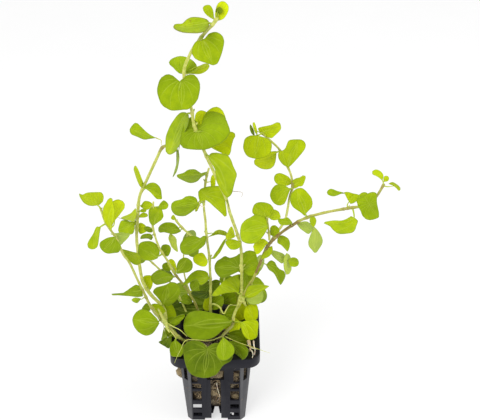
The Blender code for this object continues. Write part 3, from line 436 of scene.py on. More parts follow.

# Leaves that are one solid with their stem, and then the youngest and those in the shade low down, which
# have no solid. Those in the shade have dark tones that are painted shade.
SMALL_LEAVES = {}
SMALL_LEAVES["tall"] = (
    Leaf((217.3, 17), (224, 1.5), (0, 1), 7.3, 0, 1, (
        (218, 20.8), (216, 19.5), (215, 16), (215.2, 12), (216.2, 7), (218, 3.5), (221, 1.5),
        (224.5, 1.8), (227.5, 4.5), (228.7, 8), (227.8, 12.5), (225.5, 16.5), (222.5, 19.5))),
    Leaf((188, 73.5), (209, 65.4), (-3, -5), 10, 65, 0.8, (
        (188, 74), (192, 74), (197, 74.2), (201, 73.8), (205, 72), (208, 69.3), (209.6, 65.8),
        (207.5, 63.9), (204, 64.2), (200.5, 65.8), (193, 68.5), (189, 71.5))),
    Leaf((197, 125), (199.5, 110.5), (-4, -9), 7.5, 0, 1.1, (
        (197, 128), (195, 122), (195, 116), (197, 112), (200.5, 110.3), (204.5, 111), (208, 114),
        (207.5, 121), (204, 127), (200, 129))),
    Leaf((181, 138), (173, 177), (-5, -5), 6, 70, 0.45, (
        (176.5, 148), (178.3, 152), (179, 157.5), (178.3, 163), (177.3, 168.5), (175.8, 172.5),
        (172.5, 177.3), (174.3, 172.5), (175.8, 168.5), (176.2, 163), (176.6, 157), (176.3, 152))),
    Leaf((237.5, 242.5), (227.5, 245.5), (2, 4), 6.5, 0, 0.66, (
        (241, 242.5), (240, 247), (236, 249.5), (231, 249.5), (228, 247), (225.5, 243), (226.5, 240),
        (231, 239), (236, 240))),
    Leaf((234.2, 236), (230.5, 226), (0.5, -1), 6, 50, 0.86, (
        (235, 237), (231, 239), (227, 240), (226, 236), (228, 232), (230, 228), (232, 226.5),
        (234, 231))),
    Leaf((247, 302), (253.5, 320), (-3, 1), 10.5, 20, 0.86, (
        (246, 306), (251.1, 303.9), (256.7, 305), (258.3, 312.8), (256.7, 319.4), (249, 321),
        (244.5, 319), (243.9, 312))),
    Leaf((229, 335), (246, 341), (-1, 0), 8.5, 20, 0.28, (
        (227, 335), (233, 331), (240, 330), (245, 334), (249, 341), (246, 345), (240, 344), (234, 341),
        (229, 338))),
    Leaf((232, 346), (243, 358), (9, 19), 9, 20, 0.22, (
        (229, 340.5), (235, 341.5), (241, 343.5), (246, 346.5), (248.3, 350), (247.5, 354.5),
        (244, 359), (237, 360), (231, 359), (234.5, 352), (233, 347)), 0, 0.1),
    Leaf((214, 19), (205.2, 6.3), (0, 1), 5, 0, 0.7, (
        (214.5, 20), (209, 17), (205.5, 14), (203.3, 10.5), (202.8, 8), (204, 6.2), (207, 5),
        (210, 5.3), (212, 7.5), (213.3, 11), (213.8, 15))),
    Leaf((218.5, 15.5), (218.8, 8), (1.5, 2), 3.6, 0, 0.38, (
        (218.7, 15.3), (216, 13.5), (215.6, 10.5), (217.3, 8), (220, 7.6), (222, 9.5),
        (221.8, 12.5)), 0.1, 0.2, age=0.8),
    Leaf((240, 305), (243, 318), (-4, -5), 8, 10, 1.12, (
        (238, 306), (242, 303.5), (246, 305), (246.5, 312), (244, 319), (239, 321), (235, 320),
        (235.5, 312))),
    Leaf((243, 294), (248, 271), (-5, -7), 9, 20, 0.44, (
        (242, 305), (240, 296), (239.5, 285), (240.5, 275), (246, 270), (252.5, 272), (255.5, 280),
        (254, 290), (250, 304))),
    Leaf((236, 322), (223, 324), (-3, -2), 9, 20, 0.86, (
        (241, 323), (236.5, 318.5), (231, 316), (226, 318), (223, 323), (225, 329), (230, 333),
        (236, 332), (240.5, 328))),
)
SMALL_LEAVES["arching"] = (
    Leaf((266.5, 242), (256, 253), (2, 3), 9, 20, 0.92, (
        (268, 242), (263, 238.5), (259, 240.5), (255, 243.5), (253, 246.5), (254.5, 250), (256, 254),
        (259, 253.5), (263, 249))),
    Leaf((279.5, 238), (288, 251.5), (-3, -2), 8, 10, 0.56, (
        (277.5, 238), (281, 235.5), (285, 236.5), (288.5, 239), (290, 243), (289.5, 247.5),
        (287.5, 251.5), (284.5, 248.5), (281, 245), (277.5, 243))),
    Leaf((270, 250.5), (284, 261), (-4, -6), 7, 150, 0.54, (
        (269, 250), (274, 250.5), (279, 252), (284, 254.5), (284.5, 260), (282, 263.5), (278, 261),
        (274, 257.5), (271, 254))),
    Leaf((286, 254), (287.2, 275), (-7, -7), 6, 130, 0.7, (
        (286.5, 253), (283.5, 258), (283.5, 264), (284, 269), (286, 274.5), (288.5, 274), (291, 270),
        (291, 264), (290.5, 258), (289, 254.5)), stalkless=True),
    Leaf((267, 264.5), (281, 284.5), (1, 3), 8.5, 20, 0.32, (
        (266, 265), (269, 261.5), (272, 260.5), (275, 262.5), (277, 266.5), (280, 269.5), (283.5, 271),
        (285.5, 274.5), (284.5, 279), (280.5, 285), (278, 281), (275.5, 276), (273, 272.5),
        (269, 270))),
    Leaf((299, 222.5), (311, 231.5), (-3, -3), 7, 140, 0.52, (
        (297, 224.5), (301, 222), (306, 221.5), (310, 223.5), (313.5, 227), (311, 232), (308, 234),
        (304, 231.5), (300, 228.5))),
    Leaf((347, 205), (356, 192.5), (-1, -2), 7.5, 10, 0.72, (
        (350.5, 204), (347.5, 199.5), (345, 194.5), (344, 192.5), (348, 192), (353, 193.5),
        (358, 194.5), (360, 196.5), (358, 200), (354, 203))),
    Leaf((367, 202), (358.5, 195.5), (1, -1), 8.5, 20),
    Leaf((383, 181.5), (372.5, 172.5), (1, 2), 5.5, 30, 0.7, (
        (382.5, 180.5), (383.5, 175.5), (381.5, 172), (378.5, 170), (375.5, 169.5), (372.5, 171.5),
        (373, 174.5), (376, 175.8), (379, 177.5))),
    Leaf((386.5, 182), (400.4, 190), (0, 1), 5.5, 45, 0.65, (
        (388.5, 184), (392, 182.3), (396, 184), (399.5, 187), (400.5, 189.5), (398.5, 190.8),
        (396, 188), (392.5, 185.5))),
    Leaf((310.5, 218), (314, 226), (2, 4), 4.5, 20, 0.62, (
        (310, 217), (314.5, 217), (316.3, 220.5), (315.5, 224.5), (313.5, 227), (311, 224.5),
        (309.5, 221))),
    Leaf((341, 197), (328, 190.5), (0, -1), 5.5, 30, 0.42, (
        (346, 193.3), (341, 191.8), (337, 190.8), (332, 188.8), (329, 189.3), (327, 192),
        (328.5, 194.8), (333, 196.2), (337, 195.5), (341, 193.8)), stalkless=True),
    Leaf((290, 260), (299, 262.5), (-6, -7), 5, 20, 0.55, (
        (288, 260.5), (290, 258.5), (294, 257.5), (297.5, 259), (299, 262.5), (297.5, 266),
        (293.5, 267), (290, 265.5)), stalkless=True),
    Leaf((291, 222.5), (279, 221), (2, 3), 5, 40, 0.54, (
        (292.5, 222.5), (288, 217.5), (283, 218.5), (278, 219), (280, 224), (285, 225), (290, 224.5))),
    Leaf((384, 181), (388.5, 177), (0, 1), 4, 0, 0.75, (
        (383.5, 182), (383.5, 177.5), (385.5, 176), (388, 176.5), (389, 179),
        (387.5, 181.3)), age=0.3, stalkless=True),
    Leaf((270, 247), (263, 258), (0.5, 1), 5, 20, 0.7, (
        (272, 246), (268, 247.5), (264.5, 251.5), (261.5, 256), (261.5, 259), (265, 258.5),
        (269.5, 256), (272.5, 251)), age=0.2),
    Leaf((247, 298), (262, 296), (-4, -6), 12, 160, 0.6, (
        (245.5, 300), (248, 294), (252, 290.5), (257, 289.5), (262, 290.5), (263.5, 296), (261.5, 302),
        (257, 304.5), (250, 304))),
    Leaf((252, 285), (262, 280), (-5, -6), 6, 30, 0.48, (
        (250, 286), (252, 280.5), (256, 277), (260, 279), (262.5, 282), (264.5, 285), (258, 286))),
)
SMALL_LEAVES["upper_right"] = (
    Leaf((262, 130.5), (280, 127), (0, 0), 9, 35, 0.86, (
        (260, 133), (258, 128.5), (262, 127), (267, 126), (272, 124.8), (276, 122.8), (279.5, 122.8),
        (281, 126), (280.5, 130), (274.5, 136), (271, 138.3), (265, 136))),
    Leaf((289.5, 183.5), (275.5, 174.5), (-1, -2), 6.5, 20, 0.74, (
        (291.5, 184), (291, 180), (288.5, 176.7), (284.5, 174.5), (280.5, 173), (277, 173.5),
        (274.5, 176), (274.3, 180), (276.5, 183.5), (280, 185), (286, 186))),
    Leaf((294.5, 185.5), (305.5, 177), (0, -1), 6.5, 30, 0.7, (
        (291.5, 188.5), (291, 186), (292.5, 181), (296, 178.5), (300, 177.5), (303, 175.5),
        (305.5, 176), (305.5, 179), (302.5, 186), (299, 186.5), (295.5, 188.5))),
    Leaf((257.5, 131.5), (253.4, 122.6), (-2, -3), 4.5, 35, 0.85, (
        (257.5, 135.5), (255, 132), (253.3, 127), (253, 123), (254.5, 122.3), (256, 126),
        (257.3, 131))),
    Leaf((254, 136), (250.5, 124.5), (-1, -2), 4, 45, 0.3, (
        (255, 136.5), (251.5, 133), (250, 128), (250.5, 124.5), (252.3, 127), (254, 131))),
)
SMALL_LEAVES["short_right"] = (
    Leaf((265.5, 216.5), (254, 206.5), (-2, -3), 9, 15, 0.66, (
        (266, 219), (260, 216.5), (254.5, 215), (252.3, 211), (254.5, 204.5), (258.5, 202.3),
        (264, 202.2), (269.5, 203.8), (272.5, 206.5), (274, 210), (271, 215))),
    Leaf((269, 215.5), (279.5, 213), (-3, -6), 8, 20, 0.68, (
        (268, 217), (272, 210.5), (274.5, 209.5), (278, 211), (280, 214), (280.5, 218), (277, 220),
        (272, 220))),
    Leaf((270, 233), (277, 229), (-2, -3), 6.5, 20, 0.56, (
        (270.5, 235), (270, 229), (272, 225.8), (275.5, 225.5), (278.8, 228.5), (279.5, 233),
        (276, 236.3), (272.5, 236))),
)
SMALL_LEAVES["middle"] = (
    Leaf((201.5, 201), (195.5, 211.5), (-3, -3), 6, 50, 0.95, (
        (200, 199.5), (197.5, 203), (195.5, 208), (195, 211.5), (196.8, 211), (199, 206.5),
        (201, 202))),
    Leaf((210.5, 233), (226.5, 236), (-3, -4), 8, 62, 0.66, (
        (208.5, 237), (212, 234.5), (215, 231.5), (219, 230), (223, 230.8), (226.5, 232.5), (227, 236),
        (223, 235.3), (218, 234.6), (213, 235.8)), 0.2, 0.1),
    Leaf((212.5, 258), (226, 241), (2, 3), 7, 60, 0.55, (
        (212.5, 259), (215, 254), (218, 250), (221, 245), (223.5, 241), (226, 238.5), (225, 243),
        (223, 247), (220.5, 252), (218, 255), (215, 258.5))),
    Leaf((207, 260), (194, 259.6), (2, 4), 9, 10, 0.9, (
        (208, 262), (206, 257), (203, 253), (199, 253), (195, 255.5), (193, 258.5), (194.5, 262.5),
        (198, 265), (202, 266.5), (206, 266))),
    Leaf((209, 291), (192, 291), (-3, -6), 9, 30, 0.02, (
        (209, 291), (204.5, 290), (199, 290.8), (193, 291), (191, 293.5), (196, 296.5), (203, 298.3),
        (208.5, 297.5))),
    Leaf((209, 182), (213.5, 175.5), (-1, -1), 4, 20, 1, (
        (210.8, 186), (210.5, 180), (212, 175.5), (215, 174), (215.5, 180), (215, 186))),
    Leaf((209.5, 309), (206, 297), (-1, -1), 6, 20, 0.82, (
        (210, 311), (205, 310.5), (203, 307), (204, 301.5), (206, 297), (208.5, 296), (210, 299))),
    Leaf((211, 306), (222, 299), (-2, -2), 9, 20, 0.38, (
        (210.5, 309), (211, 301), (213, 296.5), (218, 295.5), (222.5, 296.5), (224, 300), (223, 305),
        (219, 308.5), (214, 310))),
    Leaf((209, 284), (200, 286), (-4, -5), 7, 10, 0.12, (
        (209.5, 280.5), (205, 281), (200.5, 283.5), (199, 287.5), (200.5, 290.5), (205, 291),
        (209.5, 291.5))),
    Leaf((212, 284), (219, 283), (-4, -5), 7, 10, 0.2, (
        (211.5, 281), (216, 279.5), (220, 281), (219.5, 285.5), (216.5, 288.5), (213.5, 292.5),
        (211.5, 294))),
)
SMALL_LEAVES["outer_left"] = (
    Leaf((114, 225.5), (124, 202.5), (-3, -4), 8, 20, 0.88, (
        (112, 226.5), (115, 220.5), (118, 217), (121.5, 212.5), (124.5, 208), (124.8, 204),
        (122.5, 201), (119, 199.6), (115, 200.3), (112, 203), (110, 212))),
    Leaf((115, 234.5), (129.5, 237.5), (-4, -6), 8, 150, 0.54, (
        (112.5, 233), (116, 233.3), (121, 232.5), (126, 233.5), (130, 234), (128, 238), (124, 242),
        (121, 245), (118, 243), (115, 239))),
    Leaf((167.5, 331), (164, 341), (-3, -4), 7, 20, 0.38, (
        (169, 331), (164.5, 327.5), (163, 331), (162, 336), (161, 340), (164, 339.5), (168, 336.5))),
    Leaf((168, 338), (160, 347), (1, 4), 7, 20, 0.04, (
        (171.5, 338), (166, 337.5), (162, 340), (158.5, 342), (161.5, 344.5), (165, 346.5),
        (168.5, 348.5), (171, 344))),
    Leaf((175, 340), (178, 356), (3, 17), 9.5, 0, 0.3, (
        (176, 340), (172, 342), (170, 346), (169.5, 350), (171, 355.5), (176, 356.5), (181, 356),
        (183.5, 352), (183, 347), (180, 343.5)), 0, 0.1),
    Leaf((142.5, 299), (132, 300), (-3, -5), 5, 30, 0.64, (
        (141, 298.5), (135, 297.5), (131.5, 300), (134.5, 302.5), (137.5, 302.7))),
    Leaf((171, 322), (184, 316), (0, -2), 6, 40, 0.36, (
        (170.5, 322.5), (173.5, 318.8), (178, 316), (184, 314.3), (185, 316.5), (181.5, 320.5),
        (177, 323), (173, 323.8))),
    Leaf((150, 309), (144, 306), (-3, -4), 5, 30, 0.36, (
        (150.5, 310.5), (149.5, 305.5), (146.5, 303), (143, 306.5), (141, 311.5), (146, 311.5))),
    Leaf((163, 320), (152, 305), (-3, -4), 8, 20, 0.62, (
        (163, 322), (158, 318), (153, 312.5), (150.5, 306.5), (153, 303.8), (158, 304), (163, 307),
        (166, 313), (166, 320))),
    Leaf((167, 326), (176, 335), (-2, -3), 6, 20, 0.4, (
        (166, 325), (170, 325.5), (174, 329), (177.5, 334), (175, 338.7), (170, 339), (166.3, 334))),
    Leaf((167, 322), (179, 321), (-3, -4), 6, 20, 0.44, (
        (165.5, 323.5), (168, 318), (173, 317), (178, 318.7), (180.5, 322), (176, 325.5), (170, 326))),
)
SMALL_LEAVES["left"] = (
    Leaf((142, 186), (135.5, 166.5), (1, 1), 8, 58, 0.84, (
        (143.5, 188), (140.5, 186.5), (137.5, 180.5), (135, 173), (134, 169), (135.3, 165.5),
        (137.8, 168.5), (140.5, 175), (143, 181.5), (145, 186))),
    Leaf((134.5, 222), (119, 230.5), (2, 3), 8.5, 25, 0.58, (
        (135, 222.5), (129, 221), (124, 220), (120.5, 221.5), (118.2, 229), (119, 232.5), (126, 234),
        (130, 234.5), (133.5, 232.5))),
    Leaf((135.5, 212), (121, 217), (1, 2), 7, 60, 0.68, (
        (136.8, 214), (135.5, 208), (133.3, 210.3), (131, 213), (127, 215), (121, 217.5), (125, 219.5),
        (130, 220.5), (134, 221.7))),
    Leaf((147.3, 287.5), (151, 277), (-2.6, -6), 6, 20, 0.94, (
        (148, 292), (144.5, 285), (143.5, 277), (147, 275.3), (152, 276), (153, 282), (151.5, 288))),
    Leaf((139.8, 229), (145.5, 225), (-1, -1), 5, 10, 0.76, (
        (138, 224), (140.5, 222.8), (143.5, 224), (146.5, 227), (147.5, 230.5), (144.5, 232.8),
        (140, 234), (138.2, 230))),
    Leaf((141, 205.5), (150.5, 203), (-1, -1), 5, 20, 0.6, (
        (140.5, 206.5), (142.5, 203), (145, 201), (149, 201.5), (152, 203.5), (152.5, 206.5),
        (150, 208.5), (147, 210), (144, 209.5))),
    Leaf((164, 312), (172, 308), (-2, -3), 8, 30, 0.58, (
        (163, 320.5), (160.5, 313), (161.5, 305.5), (166, 303.5), (171.5, 304), (174.5, 309),
        (176.5, 316), (174, 321), (168, 323))),
    Leaf((139.5, 216.5), (147, 215), (1, 2), 3.5, 20, 0.52, (
        (139.2, 217.6), (140, 214.5), (143, 212.9), (146.8, 213.9), (147.6, 216.4),
        (144, 217.6)), age=0.2),
    Leaf((139.5, 211), (146, 210.7), (1, 2), 2.8, 20, 0.46, (
        (139.2, 211.8), (141, 209.4), (144, 209.2), (146.4, 211), (144.2, 212.6)), age=0.3),
)
SMALL_LEAVES["inner_left"] = (
    Leaf((174, 271), (171, 259), (-2, -3), 6, 30, 1, (
        (175.5, 275), (171, 270), (168, 265), (168.5, 260.5), (171.5, 259), (174.5, 261), (176.3, 266),
        (176.5, 271))),
    Leaf((162.5, 253.5), (169, 246), (-3.4, -6), 7.5, 10, 0.4, (
        (162.5, 255), (161, 249), (162, 245.5), (165.5, 244.3), (169.5, 245.5), (171, 249), (170, 253),
        (167.5, 256.5))),
    Leaf((154.5, 223.5), (159, 209.5), (2, 3), 9.5, 20, 0.54, (
        (153, 226), (149.5, 222), (148.5, 213), (149.5, 209), (153, 207.5), (158, 207.5), (161.5, 209),
        (163, 213), (163.5, 216.5), (161.5, 220), (158, 222.5))),
    Leaf((155, 207.5), (167, 205), (0, 0), 5, 20, 0.46, (
        (158, 207), (160.5, 203), (163.5, 200.5), (166.5, 202), (168.5, 205), (167.5, 208),
        (165, 209.5), (161, 209.5))),
    Leaf((152, 236), (140.5, 236.5), (-4, -6), 5, 55, 0.34, (
        (153, 237), (150.5, 233.8), (145, 233.8), (141.5, 235.3), (140.3, 238.6), (144, 238.3),
        (148, 238.3), (151, 239.8)), age=0.2),
    Leaf((170, 270), (163, 265), (-3, -4), 6, 20, 0.36, (
        (170.5, 271), (166, 270.8), (162.8, 268.5), (162, 266), (163.5, 263.5), (166.5, 262.3),
        (169, 263.5), (170.5, 267))),
    Leaf((152.5, 229), (144, 228), (-1, -2), 4, 20, 0.3, (
        (153, 230.5), (151, 227.5), (147, 226.2), (144, 227.5), (144.5, 230), (148, 232),
        (151.5, 232.3))),
)
SMALL_LEAVES["thin_left"] = (
    Leaf((180.5, 230.5), (158.5, 227), (1, 1), 9, 40, 0.46, (
        (181, 231.3), (178, 227), (174.5, 223.5), (170, 222.3), (165, 222.5), (161, 224.5),
        (158.5, 227.5), (158.5, 231), (160, 232.5), (164, 232), (172, 233.8), (176, 233.5)), 0.3, 0.1),
    Leaf((171, 236), (175.5, 252), (-3, -4), 7, 140, 0.98, (
        (170, 233), (168.3, 238), (170, 243), (172, 247.5), (177.5, 252), (176.5, 244), (176.2, 239),
        (174, 236))),
    Leaf((174.5, 218.5), (171, 215), (0, 0), 4, 0, 0.8, (
        (176.5, 219.5), (174, 215), (172, 216), (171, 218.5), (173, 220))),
)
SMALL_LEAVES["short_left"] = (
    Leaf((162, 269), (169.5, 281), (-2, -5), 9, 30, 0.3),
    Leaf((150, 260), (140, 257), (0, -2), 9, 40),
)
SMALL_LEAVES["back_left"] = (
    Leaf((188, 293), (170, 292), (-3, -12), 15, 20),
    Leaf((192, 291), (205, 282), (-3, -10), 13, -20),
    Leaf((186, 251), (198, 246), (-2, -8), 12, 0),
    Leaf((188.5, 231), (190, 245), (-3, -9), 11, 150),
    Leaf((203, 309), (171, 309), (4, 8), 12, 20, 0.09, (
        (203, 305), (198, 302.5), (190, 302), (182, 302.5), (176, 303.5), (171.5, 306), (170.5, 310.5),
        (174, 314.5), (181, 316), (188, 313.5), (196, 311), (202, 309.8))),
    Leaf((203, 303), (193, 298), (5, 5), 6, 30, 0.14, (
        (203.5, 304.5), (205, 299), (201, 295), (195, 293.3), (190, 294.5), (192, 300), (198, 304.5))),
    Leaf((190, 300), (182, 297), (9, 9), 8, 30, 0.4, (
        (193, 303), (190.5, 297.5), (188, 294.5), (184, 294.5), (181, 297.5), (180, 301), (183, 303.5),
        (188, 304.5))),
    Leaf((181, 305), (172, 298), (6, 6), 7, 30, 0.1, (
        (181, 306), (178.5, 301), (175.5, 297.5), (172.5, 298), (170.5, 302), (170, 307), (173, 309.5),
        (178, 309))),
)
SMALL_LEAVES["back_right"] = (
    Leaf((248, 295), (266, 291), (-3, -12), 15, -20, 0.35),
    Leaf((244, 296), (230, 296), (-2, -6), 14, 30),
    Leaf((252, 261), (235, 264), (-2, -9), 14, 20),
    Leaf((256, 259), (262, 268), (-3, -12), 12, 150),
    Leaf((257.5, 225), (248, 233), (-3, -9), 13, 150),
)
SMALL_LEAVES["back_middle"] = (
    Leaf((220, 291), (205, 299), (-3, -12), 14, 20),
    Leaf((224, 286), (233, 277), (-3, -12), 13, -20),
    Leaf((228.5, 259), (222, 270), (-3, -9), 13, 150),
    Leaf((222, 312), (235, 308), (9, 10), 9, 20, 0.38, (
        (223.5, 315.5), (226, 310.5), (229.5, 306.5), (236, 306), (235, 311), (232.5, 316), (231, 320),
        (226, 319.5))),
    Leaf((224, 302), (235, 297), (4, 4), 9, 30, 0.33, (
        (222, 303), (221, 296.5), (224.5, 291), (230, 290), (235, 292.5), (237.2, 298.5), (236.3, 304),
        (230, 305), (225, 304.5)), age=0.9),
)

# Roots, root hairs, loose threads, a bare stalk and the sheaths of joints: their routes, as across, down
# and near, how wide they are in mm, and their finish
ROOTS = {
    "root_left": ((
        (221, 336.7, 9), (212.5, 340, 15), (205.8, 340.8, 20), (192.5, 339.6, 27), (185, 341, 30),
        (181, 349, 31), (177, 357, 31), (174.5, 363, 31)), 0.8, "stem"),
    "root_right": ((
        (225, 336.5, 9), (235, 341, 16), (243, 344, 22), (258, 349, 29), (265, 351.5, 31),
        (270, 353, 31)), 0.65, "stem"),
    "root_loop": ((
        (213, 304, -6), (216, 304.8, -3), (220, 307.6, -1), (223.6, 314, 0), (226.5, 309.5, -1),
        (229.8, 305, -2), (236, 305.4, -4), (239, 303, -5)), 1.3, "stem"),
    "root_hair": ((
        (223.5, 190, 10), (228, 190.6, 11), (232.6, 191.2, 12), (238, 191.6, 12), (242, 192.4, 12),
        (242.6, 194.5, 12), (241.3, 197, 12)), 0.55, "fibre"),
    "root_node": ((
        (199.5, 202, -10), (200.5, 205.5, -9), (203, 207, -9), (205.5, 205, -9),
        (206.5, 201.5, -10)), 0.45, "root"),
    "thread_tall": ((
        (226.3, 197.5, 9), (227.5, 202, 10), (228.5, 205, 10), (229.3, 209, 9)), 0.8, "leaf"),
    "thread_left": ((
        (136, 225, -11), (130, 222, -11), (124, 219.5, -11), (118, 217.5, -11)), 0.9, "leaf"),
    "root_corner_1": ((
        (253.5, 341, 11.5), (254, 346, 16.2), (255, 350, 20.2), (254.5, 355, 25)), 1.1, "root"),
    "root_corner_2": ((
        (249.5, 349, 19.2), (251.7, 351, 21.4), (253, 354, 24), (252.3, 358, 27.6)), 1, "root"),
    "root_corner_4": ((
        (248.5, 341, 12), (249.5, 344.5, 15), (250.3, 348, 18.4), (249.8, 351.5, 21.4)), 2.4, "fibre"),
    "root_corner_3": ((
        (248.3, 344, 14.6), (250, 347, 17.4), (252.5, 348.3, 18.8), (257, 349.3, 19.8)), 0.9, "root"),
    "root_slot": ((
        (216.5, 383, 18.6), (218, 390, 18.8), (219.5, 396, 18.9), (217.8, 401, 18.6)), 0.6, "root"),
    "stalk_left": ((
        (155.5, 137.6, -18), (158.5, 139, -18), (161.3, 140.2, -18), (161.2, 143.5, -17.5),
        (162.8, 147.3, -17)), 0.75, "stem"),
    "joint_sheath_1": (((241, 300, -5), (241.5, 295, -5), (242, 289, -5)), 4.6, "stem"),
    "joint_sheath_2": (((242, 297.5, -5), (239.8, 302, -5), (236.8, 308, -4.6)), 4.8, "stem"),
    "joint_sheath_3": (((240.5, 297, -5), (243, 301, -5), (246, 306, -5)), 3.6, "stem"),
    "joint_sheath_4": (((165.5, 323.5, 9.6), (161.5, 315.5, 9.4), (158, 308.5, 9.2)), 3.4, "stem"),
    "joint_sheath_5": (((164.8, 321.5, 9.6), (167, 327, 13.2), (169.5, 332.5, 17)), 3.2, "stem"),
    "root_joint_1": (((165, 323, 9), (168, 328, 13), (173, 334, 18), (176, 338.6, 22)), 1.2, "stem"),
    "root_joint_2": (((166, 322.5, 9), (172, 326, 14), (180, 330, 19), (187, 336.5, 22)), 1.1, "stem"),
    "root_joint_3": (((164.5, 323, 10), (163.5, 327, 12), (165, 331.5, 14)), 0.8, "root"),
}

# Where stems are flushed: from and to, as shares of the length, and how much there and elsewhere
BLUSHES = {
    "tall": (0.0, 0.12, 0.35, 0.0),
    "arching": (0.17, 0.56, 0.9, 0.4),
    "upper_right": (0.35, 0.5, 0.45, 0.1),
    "outer_left": (0.15, 0.5, 0.35, 0.1),
    "left": (0.95, 1.0, 0.5, 0.04),
    "inner_left": (0.15, 0.5, 0.5, 0.05),
}
DEFAULT_BLUSH = (0.0, 0.3, 0.15, 0.05)

# Colours
# Leaf colours from dark to bright, chosen by how light a leaf is; the dark end also serves as painted shade
LEAF_DARK = (0.036, 0.070, 0.001)
LEAF_DEEP = (0.218, 0.318, 0.001)
LEAF_BRIGHT = (0.580, 0.675, 0.002)
LEAF_VEIN = (0.560, 0.640, 0.090)
LEAF_RIM = (0.130, 0.170, 0.012)
LEAF_UNDER = (0.420, 0.520, 0.150)
LEAF_BROWN = (0.160, 0.100, 0.012)
LEAF_SHEEN = (0.8, 1.0, 0.3, 1.0)
STEM_GREEN = (0.400, 0.440, 0.060)
STEM_PALE = (0.600, 0.610, 0.160)
STEM_BLUSH = (0.200, 0.135, 0.025)
ROOT_PALE = (0.800, 0.740, 0.560)
ROOT_PINK = (0.560, 0.380, 0.300)
# The wool's own dark colour, which its dark marks also use as painted shade
WOOL_DARK_AND_SHADE = (0.030, 0.020, 0.012)
WOOL_TAN = (0.150, 0.115, 0.075)
WOOL_PALE = (0.600, 0.530, 0.370)
WOOL_STRAW = (0.420, 0.330, 0.185)
FIBRE_BROWN = (0.160, 0.090, 0.040)
FIBRE_TAN = (0.450, 0.330, 0.180)
POT_BLACK = (0.010, 0.010, 0.015)
POT_WORN = (0.017, 0.017, 0.023)
POT_CORNER = (0.080, 0.080, 0.085)
# Painted shade for the top of the rim
POT_TOP_PAINTED_SHADE = (0.002, 0.002, 0.002)
POT_DUST = (0.110, 0.105, 0.110)
FLOOR_WHITE = (0.36, 0.36, 0.36)
FLOOR_SHADE = (0.34, 0.34, 0.34)
WHITE = (1.0, 1.0, 1.0, 1.0)

# Noises: scale, detail and roughness
LEAF_MOTTLE = (210.0, 4.0, 0.6)
LEAF_PATCHES = (60.0, 2.0, 0.5)
LEAF_SPOTS = (330.0, 2.0, 0.6)
STEM_STREAKS = (520.0, 3.0, 0.6)
STEM_PATCHES = (95.0, 2.0, 0.5)
ROOT_PATCHES = (160.0, 3.0, 0.6)
ROOT_GRAIN = (1800.0, 3.0, 0.55)
WOOL_DRIFT = (170.0, 2.0, 0.5)
WOOL_CLUMPS = (240.0, 4.0, 0.65)
FIBRE_PATCHES = (130.0, 2.0, 0.5)
FIBRE_FLECKS = (420.0, 3.0, 0.55)
POT_GRAIN = (2600.0, 2.0, 0.5)
POT_FLOW = (1.0, 3.0, 0.6)
POT_MARKS = (85.0, 5.0, 0.62)
POT_WEAR = (34.0, 3.0, 0.5)
FLOOR_CLOUDS = (9.0, 3.0, 0.55)

# A leaf's veins, as shares of its length: the turn from one to the next and how they bow, where their
# edges fade, how wide the midrib is, and where veins fade towards the margin
VEIN_STEP = 0.46
VEIN_BEND = 0.55
VEIN_ORIGIN = 0.02
VEIN_EDGE = (0.004, 0.024)
VEIN_START = (0.0, 0.12)
VEIN_FADE = (0.62, 0.98)
MIDRIB_HALF = 0.012
MIDRIB_EDGE = (0.002, 0.024)
MIDRIB_FADE = (0.75, 1.0)
QUILT_EDGE = (0.0, 0.08)
NET_SCALE = 1500.0
NET_EDGE = (0.0, 0.16)

# How much each thing shows, and where it starts and is whole
MOTTLE_SHOWS = 0.3
PATCHES_SHOW = 0.35
VEINS_SHOW = 0.16
UNDER_VEINS_SHOW = 0.22
NET_SHOWS = 0.05
RIM_EDGE_AT = (0.91, 1.0)
RIM_SHOWS = 0.45
UNDER_SHOWS = 0.42
SPOTS_AT = (0.6, 0.72)
BROWN_RIM_AT = (0.86, 1.0)
BROWN_RIM_SHOWS = 0.7
BLUSH_AT = (0.05, 1.0)
STREAKS_AT = (0.3, 0.75)
FLUSHED_AT = (0.1, 0.55)
PINK_AT = (0.4, 0.62)
THREAD_SCALE = 900.0
THREADS_AT = (0.0, 0.35)
THREAD_DRIFT = 0.006
TAN_AT = (0.36, 0.62)
STRANDS_AT = (0.45, 0.75)
MARK_WHOLE = 0.3
FIBRE_TAN_AT = (0.38, 0.6)
FIBRE_PALE_AT = (0.55, 0.7)
FLOW_STRETCH = (45.0, 45.0, 230.0)
MARKS_AT = (0.52, 0.78)
WORN_AT = (0.4, 0.75)
FLOW_AT = (0.5, 0.8)
SCUFF_RISE = (-0.6 * MM, -0.2 * MM)
SCUFF_FALL = (0.3 * MM, 0.6 * MM)
UNDER_RIM = ((POT_HEIGHT - RIM_DROP - 0.3) * MM, (POT_HEIGHT - RIM_DROP) * MM)
# Heights over which the top of the rim turns to its painted shade
TOP_PAINTED_SHADE_AT = (59.3 * MM, 59.9 * MM)

